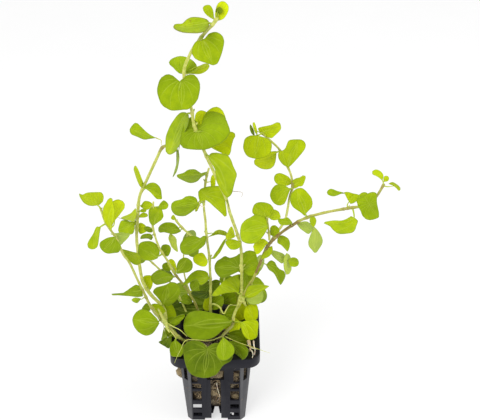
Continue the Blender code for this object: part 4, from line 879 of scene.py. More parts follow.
# Pale marks on the wool, and dark marks that are painted shade in its hollows: across, down and near, how
# far each reaches in mm, and its colour
WOOL_MARKS = (
    ((237.5, 380.5, 19.8), 3.6, WOOL_DARK_AND_SHADE),
    ((236.5, 388.5, 19.4), 2.8, WOOL_DARK_AND_SHADE),
    ((245.5, 373.0, 16.8), 3.6, WOOL_DARK_AND_SHADE),
    ((183.0, 376.0, 18.5), 5.0, WOOL_DARK_AND_SHADE),
    ((185.0, 383.0, 18.5), 3.6, WOOL_DARK_AND_SHADE),
    ((219.6, 386.0, 19.6), 4.4, WOOL_DARK_AND_SHADE),
    ((219.8, 392.0, 19.2), 2.8, WOOL_DARK_AND_SHADE),
    ((214.0, 382.0, 19.9), 2.6, WOOL_DARK_AND_SHADE),
    ((220.5, 374.5, 23.5), 6.0, WOOL_STRAW),
    ((231.5, 387.5, 19.3), 2.4, WOOL_PALE),
    ((235.5, 397.5, 18.8), 3.6, WOOL_STRAW),
    ((237.0, 375.5, 20.0), 2.2, WOOL_STRAW),
    ((246.3, 379.5, 16.5), 2.4, WOOL_PALE),
    ((213.2, 394.0, 19.2), 3.6, WOOL_STRAW),
    ((178.0, 373.0, 15.0), 6.0, WOOL_STRAW),
)

# Lights: how strong the sky and the ground's own glow are, what the lamps point at, and each one's name,
# place, size in m and power in W
SKY_STRENGTH = 0.85
FLOOR_GLOW = 0.60
FLOOR_HALF = 3.0
LAMPS_AIM = (0.0, 0.0, 0.12)
LAMPS = (
    ("soft_front", (-0.55, -0.75, 1.05), 0.7, 11.0),
    ("soft_side", (0.9, -0.1, 0.7), 0.8, 4.0),
)


class Value:
    """A number or a vector from a socket. Python's operators on it add Math nodes."""

    def __init__(self, finish, socket):
        self.finish = finish
        self.socket = socket

    def math(self, operation, *others):
        sockets = dict(enumerate((self, *others)))
        return self.finish.node("ShaderNodeMath", {"operation": operation}, sockets)

    def __add__(self, other):
        return self.math("ADD", other)

    def __mul__(self, other):
        return self.math("MULTIPLY", other)

    def __sub__(self, other):
        return self.math("SUBTRACT", other)

    def __truediv__(self, other):
        return self.math("DIVIDE", other)

    def __rsub__(self, other):
        return self.finish.node("ShaderNodeMath", {"operation": "SUBTRACT"}, {0: other, 1: self})

    __radd__ = __add__
    __rmul__ = __mul__

    def vector(self, operation, sockets, output=0):
        """A Vector Math node, with this vector as its first."""
        sockets = {0: self, **sockets}
        return self.finish.node("ShaderNodeVectorMath", {"operation": operation}, sockets, output)

    def between(self, low, high):
        """0 below low and 1 above high, with a smooth step from one to the other."""
        sockets = {"Value": self, "From Min": low, "From Max": high}
        return self.finish.node("ShaderNodeMapRange", {"interpolation_type": "SMOOTHSTEP"}, sockets)

    def ramp(self, low, high):
        """0 below low and 1 above high, and even between them."""
        sockets = {"Value": self, "From Min": low, "From Max": high}
        return self.finish.node("ShaderNodeMapRange", {}, sockets)

    def part(self, number):
        """One of the three numbers of a vector or a colour."""
        return self.finish.node("ShaderNodeSeparateXYZ", {}, {0: self}, number)


class Finish:
    """A material: its nodes, and the Principled shader that they feed."""

    def __init__(self, name, **constants):
        self.material = bpy.data.materials.new(name)
        self.material.use_nodes = True
        self.tree = self.material.node_tree
        self.surface = self.tree.nodes["Principled BSDF"]
        self.feed(**constants)

    def node(self, kind, settings, sockets, output=0):
        """Any node: its settings are set first, and then its sockets get values or links."""
        made = self.tree.nodes.new(kind)
        for name, value in settings.items():
            setattr(made, name, value)
        for key, value in sockets.items():
            self.join(value, made.inputs[key])
        return Value(self, made.outputs[output])

    def join(self, value, socket):
        if isinstance(value, Value):
            self.tree.links.new(value.socket, socket)
        else:
            socket.default_value = value

    def feed(self, **sockets):
        """Values or links for the shader's own sockets."""
        for name, value in sockets.items():
            self.join(value, self.surface.inputs[name.replace("_", " ")])

    def place(self):
        return self.node("ShaderNodeTexCoord", {}, {}, 3)

    def attribute(self, name):
        return self.node("ShaderNodeAttribute", {"attribute_name": name}, {}, 1)

    def cloud(self, scale, detail, rough, where=None, output=0):
        """A soft noise, about 0.5 on average."""
        sockets = {"Vector": where or self.place(), "Scale": scale, "Detail": detail, "Roughness": rough}
        return self.node("ShaderNodeTexNoise", {}, sockets, output)

    def cells(self, scale, where=None):
        """How far it is to the nearest edge between cells of that scale."""
        sockets = {"Vector": where or self.place(), "Scale": scale}
        return self.node("ShaderNodeTexVoronoi", {"feature": "DISTANCE_TO_EDGE"}, sockets)

    def blend(self, share, first, second):
        """A colour between two others."""
        colours = [value if isinstance(value, Value) else (*value, 1.0) for value in (first, second)]
        sockets = {0: share, 6: colours[0], 7: colours[1]}
        return self.node("ShaderNodeMix", {"data_type": "RGBA"}, sockets, 2)

    def relief(self, height, strength, depth):
        """A bump of that depth in mm, which feeds the normal."""
        sockets = {"Height": height, "Strength": strength, "Distance": depth * MM}
        self.feed(Normal=self.node("ShaderNodeBump", {}, sockets))


def leaf_finish():
    """Leaf skin: pale veins that bow out from the petiole, a fine net, darker margins, dull undersides."""
    finish = Finish("leaf_skin", Roughness=0.5, Specular_IOR_Level=0.22, Specular_Tint=LEAF_SHEEN)
    blade = finish.attribute("blade")
    across = blade.part(0).math("ABSOLUTE")
    along = blade.part(1)
    reach = blade.part(2)
    mood = finish.attribute("mood")
    tone = mood.part(0)
    age = mood.part(1)
    under = mood.part(2)
    out = (across * across + along * along).math("SQRT")
    turn = across.math("ARCTAN2", along + VEIN_ORIGIN)
    fan = (turn + out * VEIN_BEND) / VEIN_STEP
    off_vein = (fan.math("FRACT") - 0.5).math("ABSOLUTE")
    gap = (0.5 - off_vein) * VEIN_STEP * out
    side_vein = (1 - gap.between(*VEIN_EDGE)) * (1 - reach.between(*VEIN_FADE)) * out.between(*VEIN_START)
    midrib = 1 - (across - MIDRIB_HALF * (1 - along)).between(*MIDRIB_EDGE)
    vein = side_vein.math("MAXIMUM", midrib * (1 - reach.between(*MIDRIB_FADE)))
    net = 1 - finish.cells(NET_SCALE).between(*NET_EDGE)
    mottle = finish.cloud(*LEAF_MOTTLE)
    patches = finish.cloud(*LEAF_PATCHES)
    # How light the leaf is: its own colour, with painted light and shade
    light = tone + (mottle - 0.5) * MOTTLE_SHOWS + (patches - 0.5) * PATCHES_SHOW
    deep = finish.blend(light.ramp(0.0, 0.5), LEAF_DARK, LEAF_DEEP)
    green = finish.blend(light.ramp(0.5, 1.0), deep, LEAF_BRIGHT)
    veins_show = VEINS_SHOW + UNDER_VEINS_SHOW * under
    veined = finish.blend(vein * veins_show + net * NET_SHOWS, green, LEAF_VEIN)
    edged = finish.blend(reach.between(*RIM_EDGE_AT) * RIM_SHOWS, veined, LEAF_RIM)
    dull = finish.blend(under * UNDER_SHOWS, edged, LEAF_UNDER)
    spots = finish.cloud(*LEAF_SPOTS).between(*SPOTS_AT) * age
    brown_rim = age * reach.between(*BROWN_RIM_AT) * BROWN_RIM_SHOWS
    aged = finish.blend(spots.math("MAXIMUM", brown_rim), dull, LEAF_BROWN)
    finish.feed(Base_Color=aged, Roughness=0.40 + 0.16 * mottle + 0.18 * under)
    quilt = gap.between(*QUILT_EDGE) * 0.5 - vein * 0.55 * (1 - 2 * under)
    finish.relief(quilt + mottle * 0.35 - net * 0.12, 0.5, 0.35)
    return finish.material


def stem_finish():
    """Stem skin: pale green, streaked along, flushed pink and brown at bends and joints."""
    finish = Finish("stem_skin", Roughness=0.42, Specular_IOR_Level=0.45)
    finish.feed(Subsurface_Weight=0.08, Subsurface_Scale=0.001)
    run = finish.attribute("run")
    streaks = finish.cloud(*STEM_STREAKS)
    patches = finish.cloud(*STEM_PATCHES)
    warm = (run.part(0) + (patches - 0.5) * 0.35 + run.part(1) * 0.2).between(*BLUSH_AT)
    pale = finish.blend(streaks.between(*STREAKS_AT), STEM_GREEN, STEM_PALE)
    flushed = finish.blend(warm * streaks.between(*FLUSHED_AT), pale, STEM_BLUSH)
    finish.feed(Base_Color=flushed, Roughness=0.36 + 0.2 * streaks)
    finish.relief(streaks, 0.4, 0.12)
    return finish.material


def root_finish():
    finish = Finish("root_skin", Roughness=0.5, Subsurface_Weight=0.1, Subsurface_Scale=0.001)
    pink = finish.cloud(*ROOT_PATCHES).between(*PINK_AT)
    finish.feed(Base_Color=finish.blend(pink, ROOT_PALE, ROOT_PINK))
    finish.relief(finish.cloud(*ROOT_GRAIN), 0.3, 0.05)
    return finish.material


def wool_finish():
    """Damp rooting wool: matted brown and tan threads, with dark marks of painted shade where it is dented.
    """
    finish = Finish("rooting_wool", Roughness=0.95, Specular_IOR_Level=0.2)
    drift = finish.cloud(*WOOL_DRIFT, None, 1).vector("SCALE", {3: THREAD_DRIFT})
    threads = finish.cells(THREAD_SCALE, finish.place().vector("ADD", {1: drift})).between(*THREADS_AT)
    clumps = finish.cloud(*WOOL_CLUMPS)
    dark = finish.blend(clumps.between(*TAN_AT), WOOL_DARK_AND_SHADE, WOOL_TAN)
    shade = finish.blend(threads * clumps.between(*STRANDS_AT) * 0.7, dark, WOOL_PALE)
    # The dark marks are painted shade in the wool's hollows
    for spot, reach, colour in WOOL_MARKS:
        gap = finish.place().vector("DISTANCE", {1: seen(*spot)}, 1)
        near = 1 - gap.between(MARK_WHOLE * reach * MM, reach * MM)
        shade = finish.blend(near * (0.7 + 0.3 * threads), shade, colour)
    finish.feed(Base_Color=shade)
    finish.relief(threads + clumps, 0.9, 0.8)
    return finish.material


def fibre_finish():
    finish = Finish("wool_fibre", Roughness=0.8, Specular_IOR_Level=0.25)
    brown = finish.blend(finish.cloud(*FIBRE_PATCHES).between(*FIBRE_TAN_AT), FIBRE_BROWN, FIBRE_TAN)
    flecks = finish.cloud(*FIBRE_FLECKS).between(*FIBRE_PALE_AT)
    finish.feed(Base_Color=finish.blend(flecks, brown, WOOL_PALE))
    return finish.material


def plastic_finish():
    """Black moulded plastic: a fine grain, faint flow marks, dried water marks and scuffed corners, and
    painted shade that darkens the top of the rim.
    """
    finish = Finish("black_plastic", Roughness=0.4, Specular_IOR_Level=0.16)
    place = finish.place()
    grain = finish.cloud(*POT_GRAIN)
    stretched = finish.node("ShaderNodeMapping", {}, {"Vector": place, "Scale": FLOW_STRETCH})
    flow = finish.cloud(*POT_FLOW, stretched)
    marks = finish.cloud(*POT_MARKS).between(*MARKS_AT)
    worn = finish.cloud(*POT_WEAR).between(*WORN_AT)
    black = finish.blend(worn * 0.6, POT_BLACK, POT_WORN)
    height = place.part(2)
    out = place.part(0).math("ABSOLUTE") + place.part(1).math("ABSOLUTE")
    flare = (BODY_TOP_HALF - BODY_BASE_HALF) / POT_HEIGHT
    past = out - height * flare - (BODY_BASE_HALF + BODY_FLAT) * MM
    corner = past.between(*SCUFF_RISE) * (1 - past.between(*SCUFF_FALL)) * (1 - height.between(*UNDER_RIM))
    scuffed = finish.blend(corner * (0.7 + 0.3 * flow), black, POT_CORNER)
    # Painted shade: the top of the rim is darkened
    top = finish.blend(height.between(*TOP_PAINTED_SHADE_AT), scuffed, POT_TOP_PAINTED_SHADE)
    dusty = finish.blend(marks * 0.15 + flow.between(*FLOW_AT) * 0.05, top, POT_DUST)
    finish.feed(Base_Color=dusty, Roughness=0.34 + 0.12 * grain + 0.22 * marks)
    finish.relief(grain + flow * 0.6, 0.35, 0.08)
    return finish.material


def floor_finish():
    finish = Finish("floor_paper", Roughness=0.9, Specular_IOR_Level=0.1)
    finish.feed(Emission_Color=WHITE, Emission_Strength=FLOOR_GLOW)
    finish.feed(Base_Color=finish.blend(finish.cloud(*FLOOR_CLOUDS), FLOOR_WHITE, FLOOR_SHADE))
    return finish.material


def seen(across, down, near):
    """The point seen at that pixel of the photograph, near mm in front of the pot's middle plane."""
    ahead = Vector((0, math.cos(VIEW_DOWN), -math.sin(VIEW_DOWN)))
    upward = Vector((0, math.sin(VIEW_DOWN), math.cos(VIEW_DOWN)))
    sight = ahead + Vector((1, 0, 0)) * ((across - VIEW_MIDDLE[0]) / VIEW_FOCAL)
    sight += upward * ((VIEW_MIDDLE[1] - down) / VIEW_FOCAL)
    return VIEW_FROM + sight * ((-near * MM - VIEW_FROM.y) / sight.y)


def curve(points):
    """The smooth curve through the given points, as a close set path."""
    path = [points[0] * 2 - points[1], *points, points[-1] * 2 - points[-2]]
    fine = []
    for before, start, end, after in zip(path, path[1:], path[2:], path[3:]):
        pieces = max(4, round((end - start).length / (FINE_STEP * MM)))
        for k in range(pieces):
            t = k / pieces
            bend = (before * 2 - start * 5 + end * 4 - after) * t * t
            twist = (start * 3 - before - end * 3 + after) * t ** 3
            fine.append((start * 2 + (end - before) * t + bend + twist) * 0.5)
    return [*fine, points[-1]]


def spaced(path, count):
    """The points that divide a path into that many equal lengths."""
    reach = [0.0]
    for a, b in zip(path, path[1:]):
        reach.append(reach[-1] + (b - a).length)
    places = []
    number = 0
    for k in range(count + 1):
        run = reach[-1] * k / count
        while number < len(path) - 2 and reach[number + 1] < run:
            number += 1
        share = (run - reach[number]) / (reach[number + 1] - reach[number])
        places.append(path[number].lerp(path[number + 1], min(share, 1.0)))
    return places


def smooth_route(points, step):
    """Points about a step apart, in mm, along the smooth curve through the given points."""
    path = curve(points)
    length = sum((b - a).length for a, b in zip(path, path[1:]))
    return spaced(path, max(2, round(length / (step * MM))))


def stem_line(name):
    """A stem's middle line, close set. One that is rooted in the pot starts inside the wool."""
    stem = STEMS[name]
    points = [seen(*place) for place in stem.route]
    if points[0].z < ROOTED_BELOW * MM:
        points[0].z = (WOOL_TOP + stem.wide / 2 + 2 * GAP) * MM
        points.insert(0, points[0] - Vector((0, 0, ROOTED_DEEP * MM)))
    return smooth_route(points, LINE_STEP)


def put_in_order(bm):
    """Sorts a shape's corners by where they are, and its edges and faces by the numbers of their corners,
    so that every run makes the same mesh."""
    oblique = Vector((1, math.sqrt(2), math.sqrt(3)))
    bm.verts.sort(key=lambda vert: vert.co.dot(oblique))
    bm.verts.index_update()
    for parts in (bm.edges, bm.faces):
        parts.sort(key=lambda part: sum(vert.index ** 3 for vert in part.verts))


def new_object(name, bm, finish=None):
    """Makes a shape an object of the scene."""
    put_in_order(bm)
    mesh = bpy.data.meshes.new(name)
    bm.to_mesh(mesh)
    bm.free()
    if finish:
        mesh.materials.append(MATERIALS[finish])
    made = bpy.data.objects.new(name, mesh)
    bpy.context.scene.collection.objects.link(made)
    return made


def piece(name, bm, finish, nodes=(), sharp=50.0):
    """Makes a shape a piece of the plant, in its place and on the root body."""
    made = new_object(name, bm, finish)
    made.data.shade_smooth()
    made.data.set_sharp_from_angle(angle=math.radians(sharp))
    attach(made, "root")
    if nodes:
        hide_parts(*nodes)


def take_in(whole, part):
    """Adds a finished shape to a larger one."""
    mesh = bpy.data.meshes.new("part")
    part.to_mesh(mesh)
    part.free()
    whole.from_mesh(mesh)
    bpy.data.meshes.remove(mesh)


def face_outward(bm):
    """Turns a closed shape's faces outwards, thin or folded as it may be."""
    bmesh.ops.recalc_face_normals(bm, faces=bm.faces)
    if bm.calc_volume(signed=True) < 0:
        bmesh.ops.reverse_faces(bm, faces=bm.faces)


def extrude(bm, faces):
    """Extrudes faces, and gives the new corners and the new faces."""
    drawn = bmesh.ops.extrude_face_region(bm, geom=faces)["geom"]
    kinds = (bmesh.types.BMVert, bmesh.types.BMFace)
    return [[item for item in drawn if isinstance(item, kind)] for kind in kinds]


def quarter_turns(count, size=3):
    return Matrix.Rotation(math.radians(90 * count), size, "Z")


def route_places(route, radii):
    """At each point of a route, the matrix that stands a unit circle square to it at its radius."""
    places = []
    side = None
    for number, point in enumerate(route):
        ahead = (route[min(number + 1, len(route) - 1)] - route[max(number - 1, 0)]).normalized()
        if side is None:
            side = ahead.orthogonal().normalized()
        side = (side - ahead * side.dot(ahead)).normalized()
        turned = Matrix((side, ahead.cross(side), ahead)).transposed().to_4x4()
        places.append(Matrix.Translation(point) @ turned @ Matrix.Scale(radii[number], 4))
    return places


def tube(route, radii, sides, square=0.0):
    """A closed tube drawn along a route, ring by ring. Its rings are numbered in the layer ring."""
    bm = bmesh.new()
    ring = bm.verts.layers.int.new("ring")
    bmesh.ops.create_circle(bm, cap_ends=True, radius=1.0, segments=sides)
    for vert in bm.verts:
        turn = math.atan2(vert.co.y, vert.co.x)
        vert.co *= 1 + square * math.cos(4 * turn)
    places = route_places(route, radii)
    bmesh.ops.transform(bm, matrix=places[0], verts=bm.verts)
    base = bm.faces[:][0]
    end = base
    for number in range(1, len(places)):
        left_behind = end
        verts, (end,) = extrude(bm, [end])
        bmesh.ops.transform(bm, matrix=places[number] @ places[number - 1].inverted(), verts=verts)
        for vert in verts:
            vert[ring] = number
        if left_behind is not base:
            bm.faces.remove(left_behind)
    face_outward(bm)
    return bm


def leaves_of(name):
    return LEAVES.get(name, ()) + SMALL_LEAVES.get(name, ())


def stem_wide(stem, share):
    """How wide a stem is in mm, that share of its way along."""
    return stem.wide + (stem.narrow - stem.wide) * share


def leaf_places(leaf, stem, line):
    """Where the petiole meets its stem's middle line, where the blade starts, and its tip."""
    sight = (seen(*leaf.base, 0) - VIEW_FROM).normalized()
    number = min(range(len(line) - 1), key=lambda k: (line[k] - VIEW_FROM).cross(sight).length)
    joint = line[number]
    run = (line[number + 1] - line[max(number - 1, 0)]).normalized()
    base = seen(*leaf.base, -joint.y / MM + leaf.lift[0])
    tip = seen(*leaf.tip, -joint.y / MM + leaf.lift[1])
    surface = stem_wide(stem, number / (len(line) - 1)) / 2
    away = (base - joint).normalized()
    lean = abs(away.dot(run))
    rise = max(math.sqrt(1 - lean ** 2), STEEPEST_LEAN)
    least = ((surface + GAP + PETIOLE_ROOM * lean) / rise + PETIOLE_LEAST) * MM
    if (base - joint).length < least:
        toward = (base - joint) + (tip - base).normalized() * least
        base = joint + toward.normalized() * least
    return number, joint, base, tip


def leaf_frame(leaf, base, tip):
    """The blade's axes: across, along the midrib, and out of the face that the viewer sees."""
    along = (tip - base).normalized()
    outward = VIEW_FROM - (base + tip) / 2
    outward = (outward - along * outward.dot(along)).normalized()
    outward = Matrix.Rotation(math.radians(leaf.roll), 3, along) @ outward
    across = along.cross(outward)
    return Matrix((across, along, outward)).transposed()


def plane_spot(across, down, base, axes):
    """Where the line of sight through a pixel meets a leaf's plane, in the blade's own frame."""
    sight = seen(across, down, 0) - VIEW_FROM
    outward = axes.col[2]
    spot = VIEW_FROM + sight * ((base - VIEW_FROM).dot(outward) / sight.dot(outward)) - base
    return Vector((spot.dot(axes.col[0]), spot.dot(axes.col[1]), 0.0))


def plain_rim(leaf, length, turn):
    """The margin of a leaf that has no outline: turn runs round from the tip."""
    whole = length * (1 + leaf.lobe)
    notch = math.exp(-(((math.pi - abs(turn)) / NOTCH_SPREAD) ** 2))
    x = leaf.width * MM / 2 * math.sin(turn) * (1 + leaf.egg * math.cos(turn))
    y = length - whole / 2 + whole / 2 * math.cos(turn) + leaf.lobe * length * notch
    return Vector((x, y, 0.0))


def make_rim(leaf, base, axes, length, sides):
    """A blade's margin in its own plane, clockwise from its notch, with a corner for each side."""
    if not leaf.outline:
        return [plain_rim(leaf, length, 2 * math.pi * k / sides - math.pi) for k in range(sides)]
    corners = [plane_spot(*pixel, base, axes) for pixel in leaf.outline]
    corners.append(corners[0])
    if sum(a.cross(b).z for a, b in zip(corners, corners[1:])) > 0:
        corners.reverse()
    rim = spaced(curve(corners), sides)[:-1]
    for corner in corners:
        nearest = min(range(sides), key=lambda k: (rim[k] - corner).length)
        rim[nearest] = corner.copy()
    return rim


def shape_blade(leaf, base, tip, sides):
    """A blade before it has a mesh: its margin, the middle of that, and half its width."""
    axes = leaf_frame(leaf, base, tip)
    length = (tip - base).length
    rim = make_rim(leaf, base, axes, length, sides)
    middle = sum(rim, Vector()) / sides
    return Blade(leaf, base, axes, length, rim, middle, max(abs(corner.x) for corner in rim))


def on_blade(blade, spot, extra):
    """The place of a spot of a blade's plane once it droops along its midrib and is cupped across it. It
    leaves the plane along the line of sight, so that the leaf keeps its outline in the picture."""
    leaf = blade.leaf
    lift = extra - leaf.droop * blade.length * (spot.y / blade.length) ** 2
    lift += leaf.cup * 2 * blade.half * (spot.x / blade.half) ** 2
    place = blade.base + blade.axes.col[0] * spot.x + blade.axes.col[1] * spot.y
    sight = (place - VIEW_FROM).normalized()
    facing = -sight.dot(blade.axes.col[2])
    return place - sight * (lift / math.copysign(max(abs(facing), LEAST_FACING), facing))


def make_blade(blade, rings, mood, chance):
    """A leaf's blade: a disc of rings, laid in its margin, waved at its edge and given thickness."""
    leaf = blade.leaf
    sides = len(blade.rim)
    bm = bmesh.new()
    spots = bm.verts.layers.float_vector.new("blade")
    feel = bm.verts.layers.float_vector.new("mood")
    bmesh.ops.create_circle(bm, cap_ends=True, radius=1.0, segments=sides)
    centre = bm.faces[:][0]
    for _ in range(rings - 1):
        bmesh.ops.inset_region(bm, faces=[centre], thickness=1 / rings, use_boundary=True)
        centre = next(face for face in bm.faces if len(face.verts) == sides)
    bmesh.ops.poke(bm, faces=[centre])
    waves = [(number, chance.uniform(0, 2 * math.pi)) for number in EDGE_WAVES]
    wavy = leaf.width * MM * chance.uniform(*WAVE_HEIGHT)
    twist = chance.uniform(-TWIST_MOST, TWIST_MOST)
    for vert in bm.verts:
        turn = math.atan2(vert.co.x, vert.co.y)
        reach = min(vert.co.length, 1.0)
        corner = blade.rim[round((turn / math.pi + 1) / 2 * sides) % sides]
        spot = blade.middle.lerp(corner, reach)
        rise = sum(math.sin(number * turn + phase) / number ** 0.5 for number, phase in waves)
        on_midrib = math.exp(-((spot.x / (FOLD_REACH * blade.half)) ** 2))
        fold = MIDRIB_FOLD * leaf.width * MM * on_midrib * (1 - reach)
        extra = wavy * rise * reach ** 3 + twist * spot.x * spot.y / blade.length - fold
        vert.co = on_blade(blade, spot, extra)
        vert[spots] = (spot.x / blade.length, spot.y / blade.length, reach)
        vert[feel] = (*mood, 0.0)
    back, _ = extrude(bm, bm.faces[:])
    for vert in back:
        vert.co -= blade.axes.col[2] * BLADE_THICK * MM
        vert[feel] = (*mood, 1.0)
    face_outward(bm)
    return bm


def make_petiole(blade, joint, tone):
    """A leaf's stalk, from the stem's middle line into the blade, where it thins out as the midrib."""
    start = on_blade(blade, Vector(), -BLADE_THICK * MM)
    run = [joint, joint.lerp(start, 0.6) + blade.axes.col[2] * 0.1 * (start - joint).length]
    for share in (0.06, 0.45, 0.95):
        run.append(on_blade(blade, blade.middle * share, -BLADE_THICK * MM * 0.8))
    route = smooth_route(run, LINE_STEP * 0.7)
    count = len(route) - 1
    wide = PETIOLE_WIDE * (1.0 if blade.leaf.width > THIN_PETIOLE_TO else THIN_PETIOLE)
    radii = [wide / 2 * MM * (1.15 - 0.95 * (number / count) ** 1.4) for number in range(count + 1)]
    bm = tube(route, radii, STALK_SIDES)
    spots = bm.verts.layers.float_vector.new("blade")
    feel = bm.verts.layers.float_vector.new("mood")
    for vert in bm.verts:
        vert[spots] = (0.0, 0.06, 0.0)
        vert[feel] = (tone, 0.0, 0.25)
    return bm


def make_stem(name):
    """A stem, swollen at each joint, with a bud in some of its leaves' axils."""
    stem = STEMS[name]
    line = stem_line(name)
    joints = [leaf_places(leaf, stem, line)[0] for leaf in leaves_of(name)]
    radii = []
    swells = []
    for number in range(len(line)):
        near = min((abs(number - joint) * LINE_STEP for joint in joints), default=NO_JOINT)
        swell = math.exp(-((near / JOINT_REACH) ** 2))
        ripple = 0.04 * math.sin(number * 0.9) + 0.03 * math.sin(number * 0.37 + 1)
        wide = stem_wide(stem, number / (len(line) - 1))
        radii.append(wide / 2 * MM * (1 + JOINT_SWELL * swell + ripple))
        swells.append(swell)
    bm = tube(line, radii, STEM_SIDES, STEM_SQUARE)
    run = bm.verts.layers.float_vector.new("run")
    ring = bm.verts.layers.int["ring"]
    start, end, inside, outside = BLUSHES.get(name, DEFAULT_BLUSH)
    for vert in bm.verts:
        share = vert[ring] / (len(line) - 1)
        vert[run] = (inside if start <= share <= end else outside, swells[vert[ring]], 0.0)
    chance = random.Random(name)
    for joint in sorted(set(joints)):
        if chance.random() < BUD_SHARE:
            take_in(bm, make_bud(line, joint, radii[joint], chance))
    piece(name + "_stem_tube", bm, "stem", [name + "_stem"])


def make_bud(line, joint, radius, chance):
    """A tiny pair of folded leaves in an axil, never flushed."""
    bm = bmesh.new()
    bm.verts.layers.float_vector.new("run")
    ahead = (line[joint + 1] - line[max(joint - 1, 0)]).normalized()
    side = Matrix.Rotation(chance.uniform(0, 2 * math.pi), 3, ahead) @ ahead.orthogonal().normalized()
    size = chance.uniform(*BUD_SIZE) * radius
    lean = (ahead + side * 0.8).normalized()
    turned = lean.to_track_quat("Z", "Y").to_matrix().to_4x4()
    centre = line[joint] + side * radius * 1.15 + ahead * radius * 0.9
    place = Matrix.Translation(centre) @ turned @ Matrix.Diagonal(BUD_SHAPE)
    bmesh.ops.create_uvsphere(bm, u_segments=8, v_segments=6, radius=size, matrix=place)
    return bm


def mood_of(leaf, name, chance):
    """How light and how worn a leaf is, as it was read off the photograph or else by a rule."""
    if leaf.tone is not None:
        return Mood(leaf.tone, leaf.age)
    # Painted light and shade: leaves higher up are lighter, and those on the stems at the back darker
    high = (RULE_FOOT - leaf.base[1]) / RULE_FOOT
    behind = RULE_PAINTED_SHADE_BEHIND if name.startswith(("back", "short_left")) else 0.0
    return Mood(RULE_TONE + RULE_PAINTED_LIGHT_HIGHER * high - behind + chance.uniform(-RULE_CHANCE, RULE_CHANCE), 0.0)


def make_foliage(name):
    """All of a stem's leaves, each with its stalk."""
    line = stem_line(name)
    bm = bmesh.new()
    for number, leaf in enumerate(leaves_of(name)):
        chance = random.Random(f"{name}{number}")
        mood = mood_of(leaf, name, chance)
        _, joint, base, tip = leaf_places(leaf, STEMS[name], line)
        rings, sides = next(mesh[1:] for mesh in BLADE_MESHES if leaf.width > mesh[0])
        blade = shape_blade(leaf, base, tip, sides)
        take_in(bm, make_blade(blade, rings, mood, chance))
        if not leaf.stalkless:
            take_in(bm, make_petiole(blade, joint, mood.tone))
    nodes = [f"{name}_leaf_{number + 1}" for number in range(len(LEAVES.get(name, ())))]
    piece(name + "_foliage", bm, "leaf", nodes)


def make_root(name, places, wide, finish):
    """A root, a root hair, a thread or a sheath, as a thin tube that tapers."""
    route = smooth_route([seen(*place) for place in places], ROOT_STEP)
    count = len(route) - 1
    radii = [wide / 2 * MM * (1 - (1 - ROOT_END) * number / count) for number in range(count + 1)]
    piece(name, tube(route, radii, STALK_SIDES), finish)


def ring_point(number, half, flat, rounding, height):
    """A point of a square with cut corners, nine to a corner: half its width and half its flat side, in
    mm. A rounding of 0 leaves the corners straight cuts, and 1 makes them arcs."""
    quarter, step = divmod(number, CORNER_STEPS + 1)
    corner = half - flat
    turn = math.radians(90 * step / CORNER_STEPS)
    arc = Vector((flat + corner * math.cos(turn), flat + corner * math.sin(turn)))
    share = step / CORNER_STEPS
    cut = Vector((half - corner * share, flat + corner * share))
    x, y = cut.lerp(arc, rounding)
    return quarter_turns(quarter) @ Vector((x, y, height)) * MM


def lofted(levels):
    """A closed shape drawn through square rings, each given as half, flat, rounding and height."""
    bm = bmesh.new()
    number = bm.verts.layers.int.new("number")
    corners = [bm.verts.new(ring_point(k, *levels[0])) for k in range(4 * (CORNER_STEPS + 1))]
    for k, vert in enumerate(corners):
        vert[number] = k
    base = bm.faces.new(corners)
    end = base
    for level in levels[1:]:
        left_behind = end
        verts, (end,) = extrude(bm, [end])
        for vert in verts:
            vert.co = ring_point(vert[number], *level)
        if left_behind is not base:
            bm.faces.remove(left_behind)
    face_outward(bm)
    return bm


def block(name, low, high, quarter):
    """A box between two corners in mm, turned about the pot's axis by that many quarters."""
    bm = bmesh.new()
    middle = (Vector(low) + Vector(high)) * 0.5 * MM
    size = (Vector(high) - Vector(low)) * MM
    bmesh.ops.create_cube(bm, size=1.0, matrix=Matrix.Translation(middle) @ Matrix.Diagonal((*size, 1.0)))
    bmesh.ops.rotate(bm, verts=bm.verts, matrix=quarter_turns(quarter))
    return new_object(name, bm)


def floor_slot(quarter):
    """The floor's slot on one side, which widens from the hub to the wall."""
    narrow, wide = FLOOR_SLOT_HALVES
    hub = -FLOOR_SLOT_INNER
    wall = -BODY_BASE_HALF
    corners = ((-narrow, hub), (narrow, hub), (wide, wall), (-wide, wall))
    bm = bmesh.new()
    base = bm.faces.new([bm.verts.new(Vector((x, y, -CUT_PAST)) * MM) for x, y in corners])
    top, _ = extrude(bm, [base])
    bmesh.ops.translate(bm, verts=top, vec=Vector((0, 0, FOOT_RISE + FLOOR + 2 * CUT_PAST)) * MM)
    face_outward(bm)
    bmesh.ops.rotate(bm, verts=bm.verts, matrix=quarter_turns(quarter))
    return new_object(f"floor_slot_{quarter}", bm)


def body_half(height):
    """Half the pot's outer width at a height, in mm."""
    return BODY_BASE_HALF + (BODY_TOP_HALF - BODY_BASE_HALF) * height / POT_HEIGHT


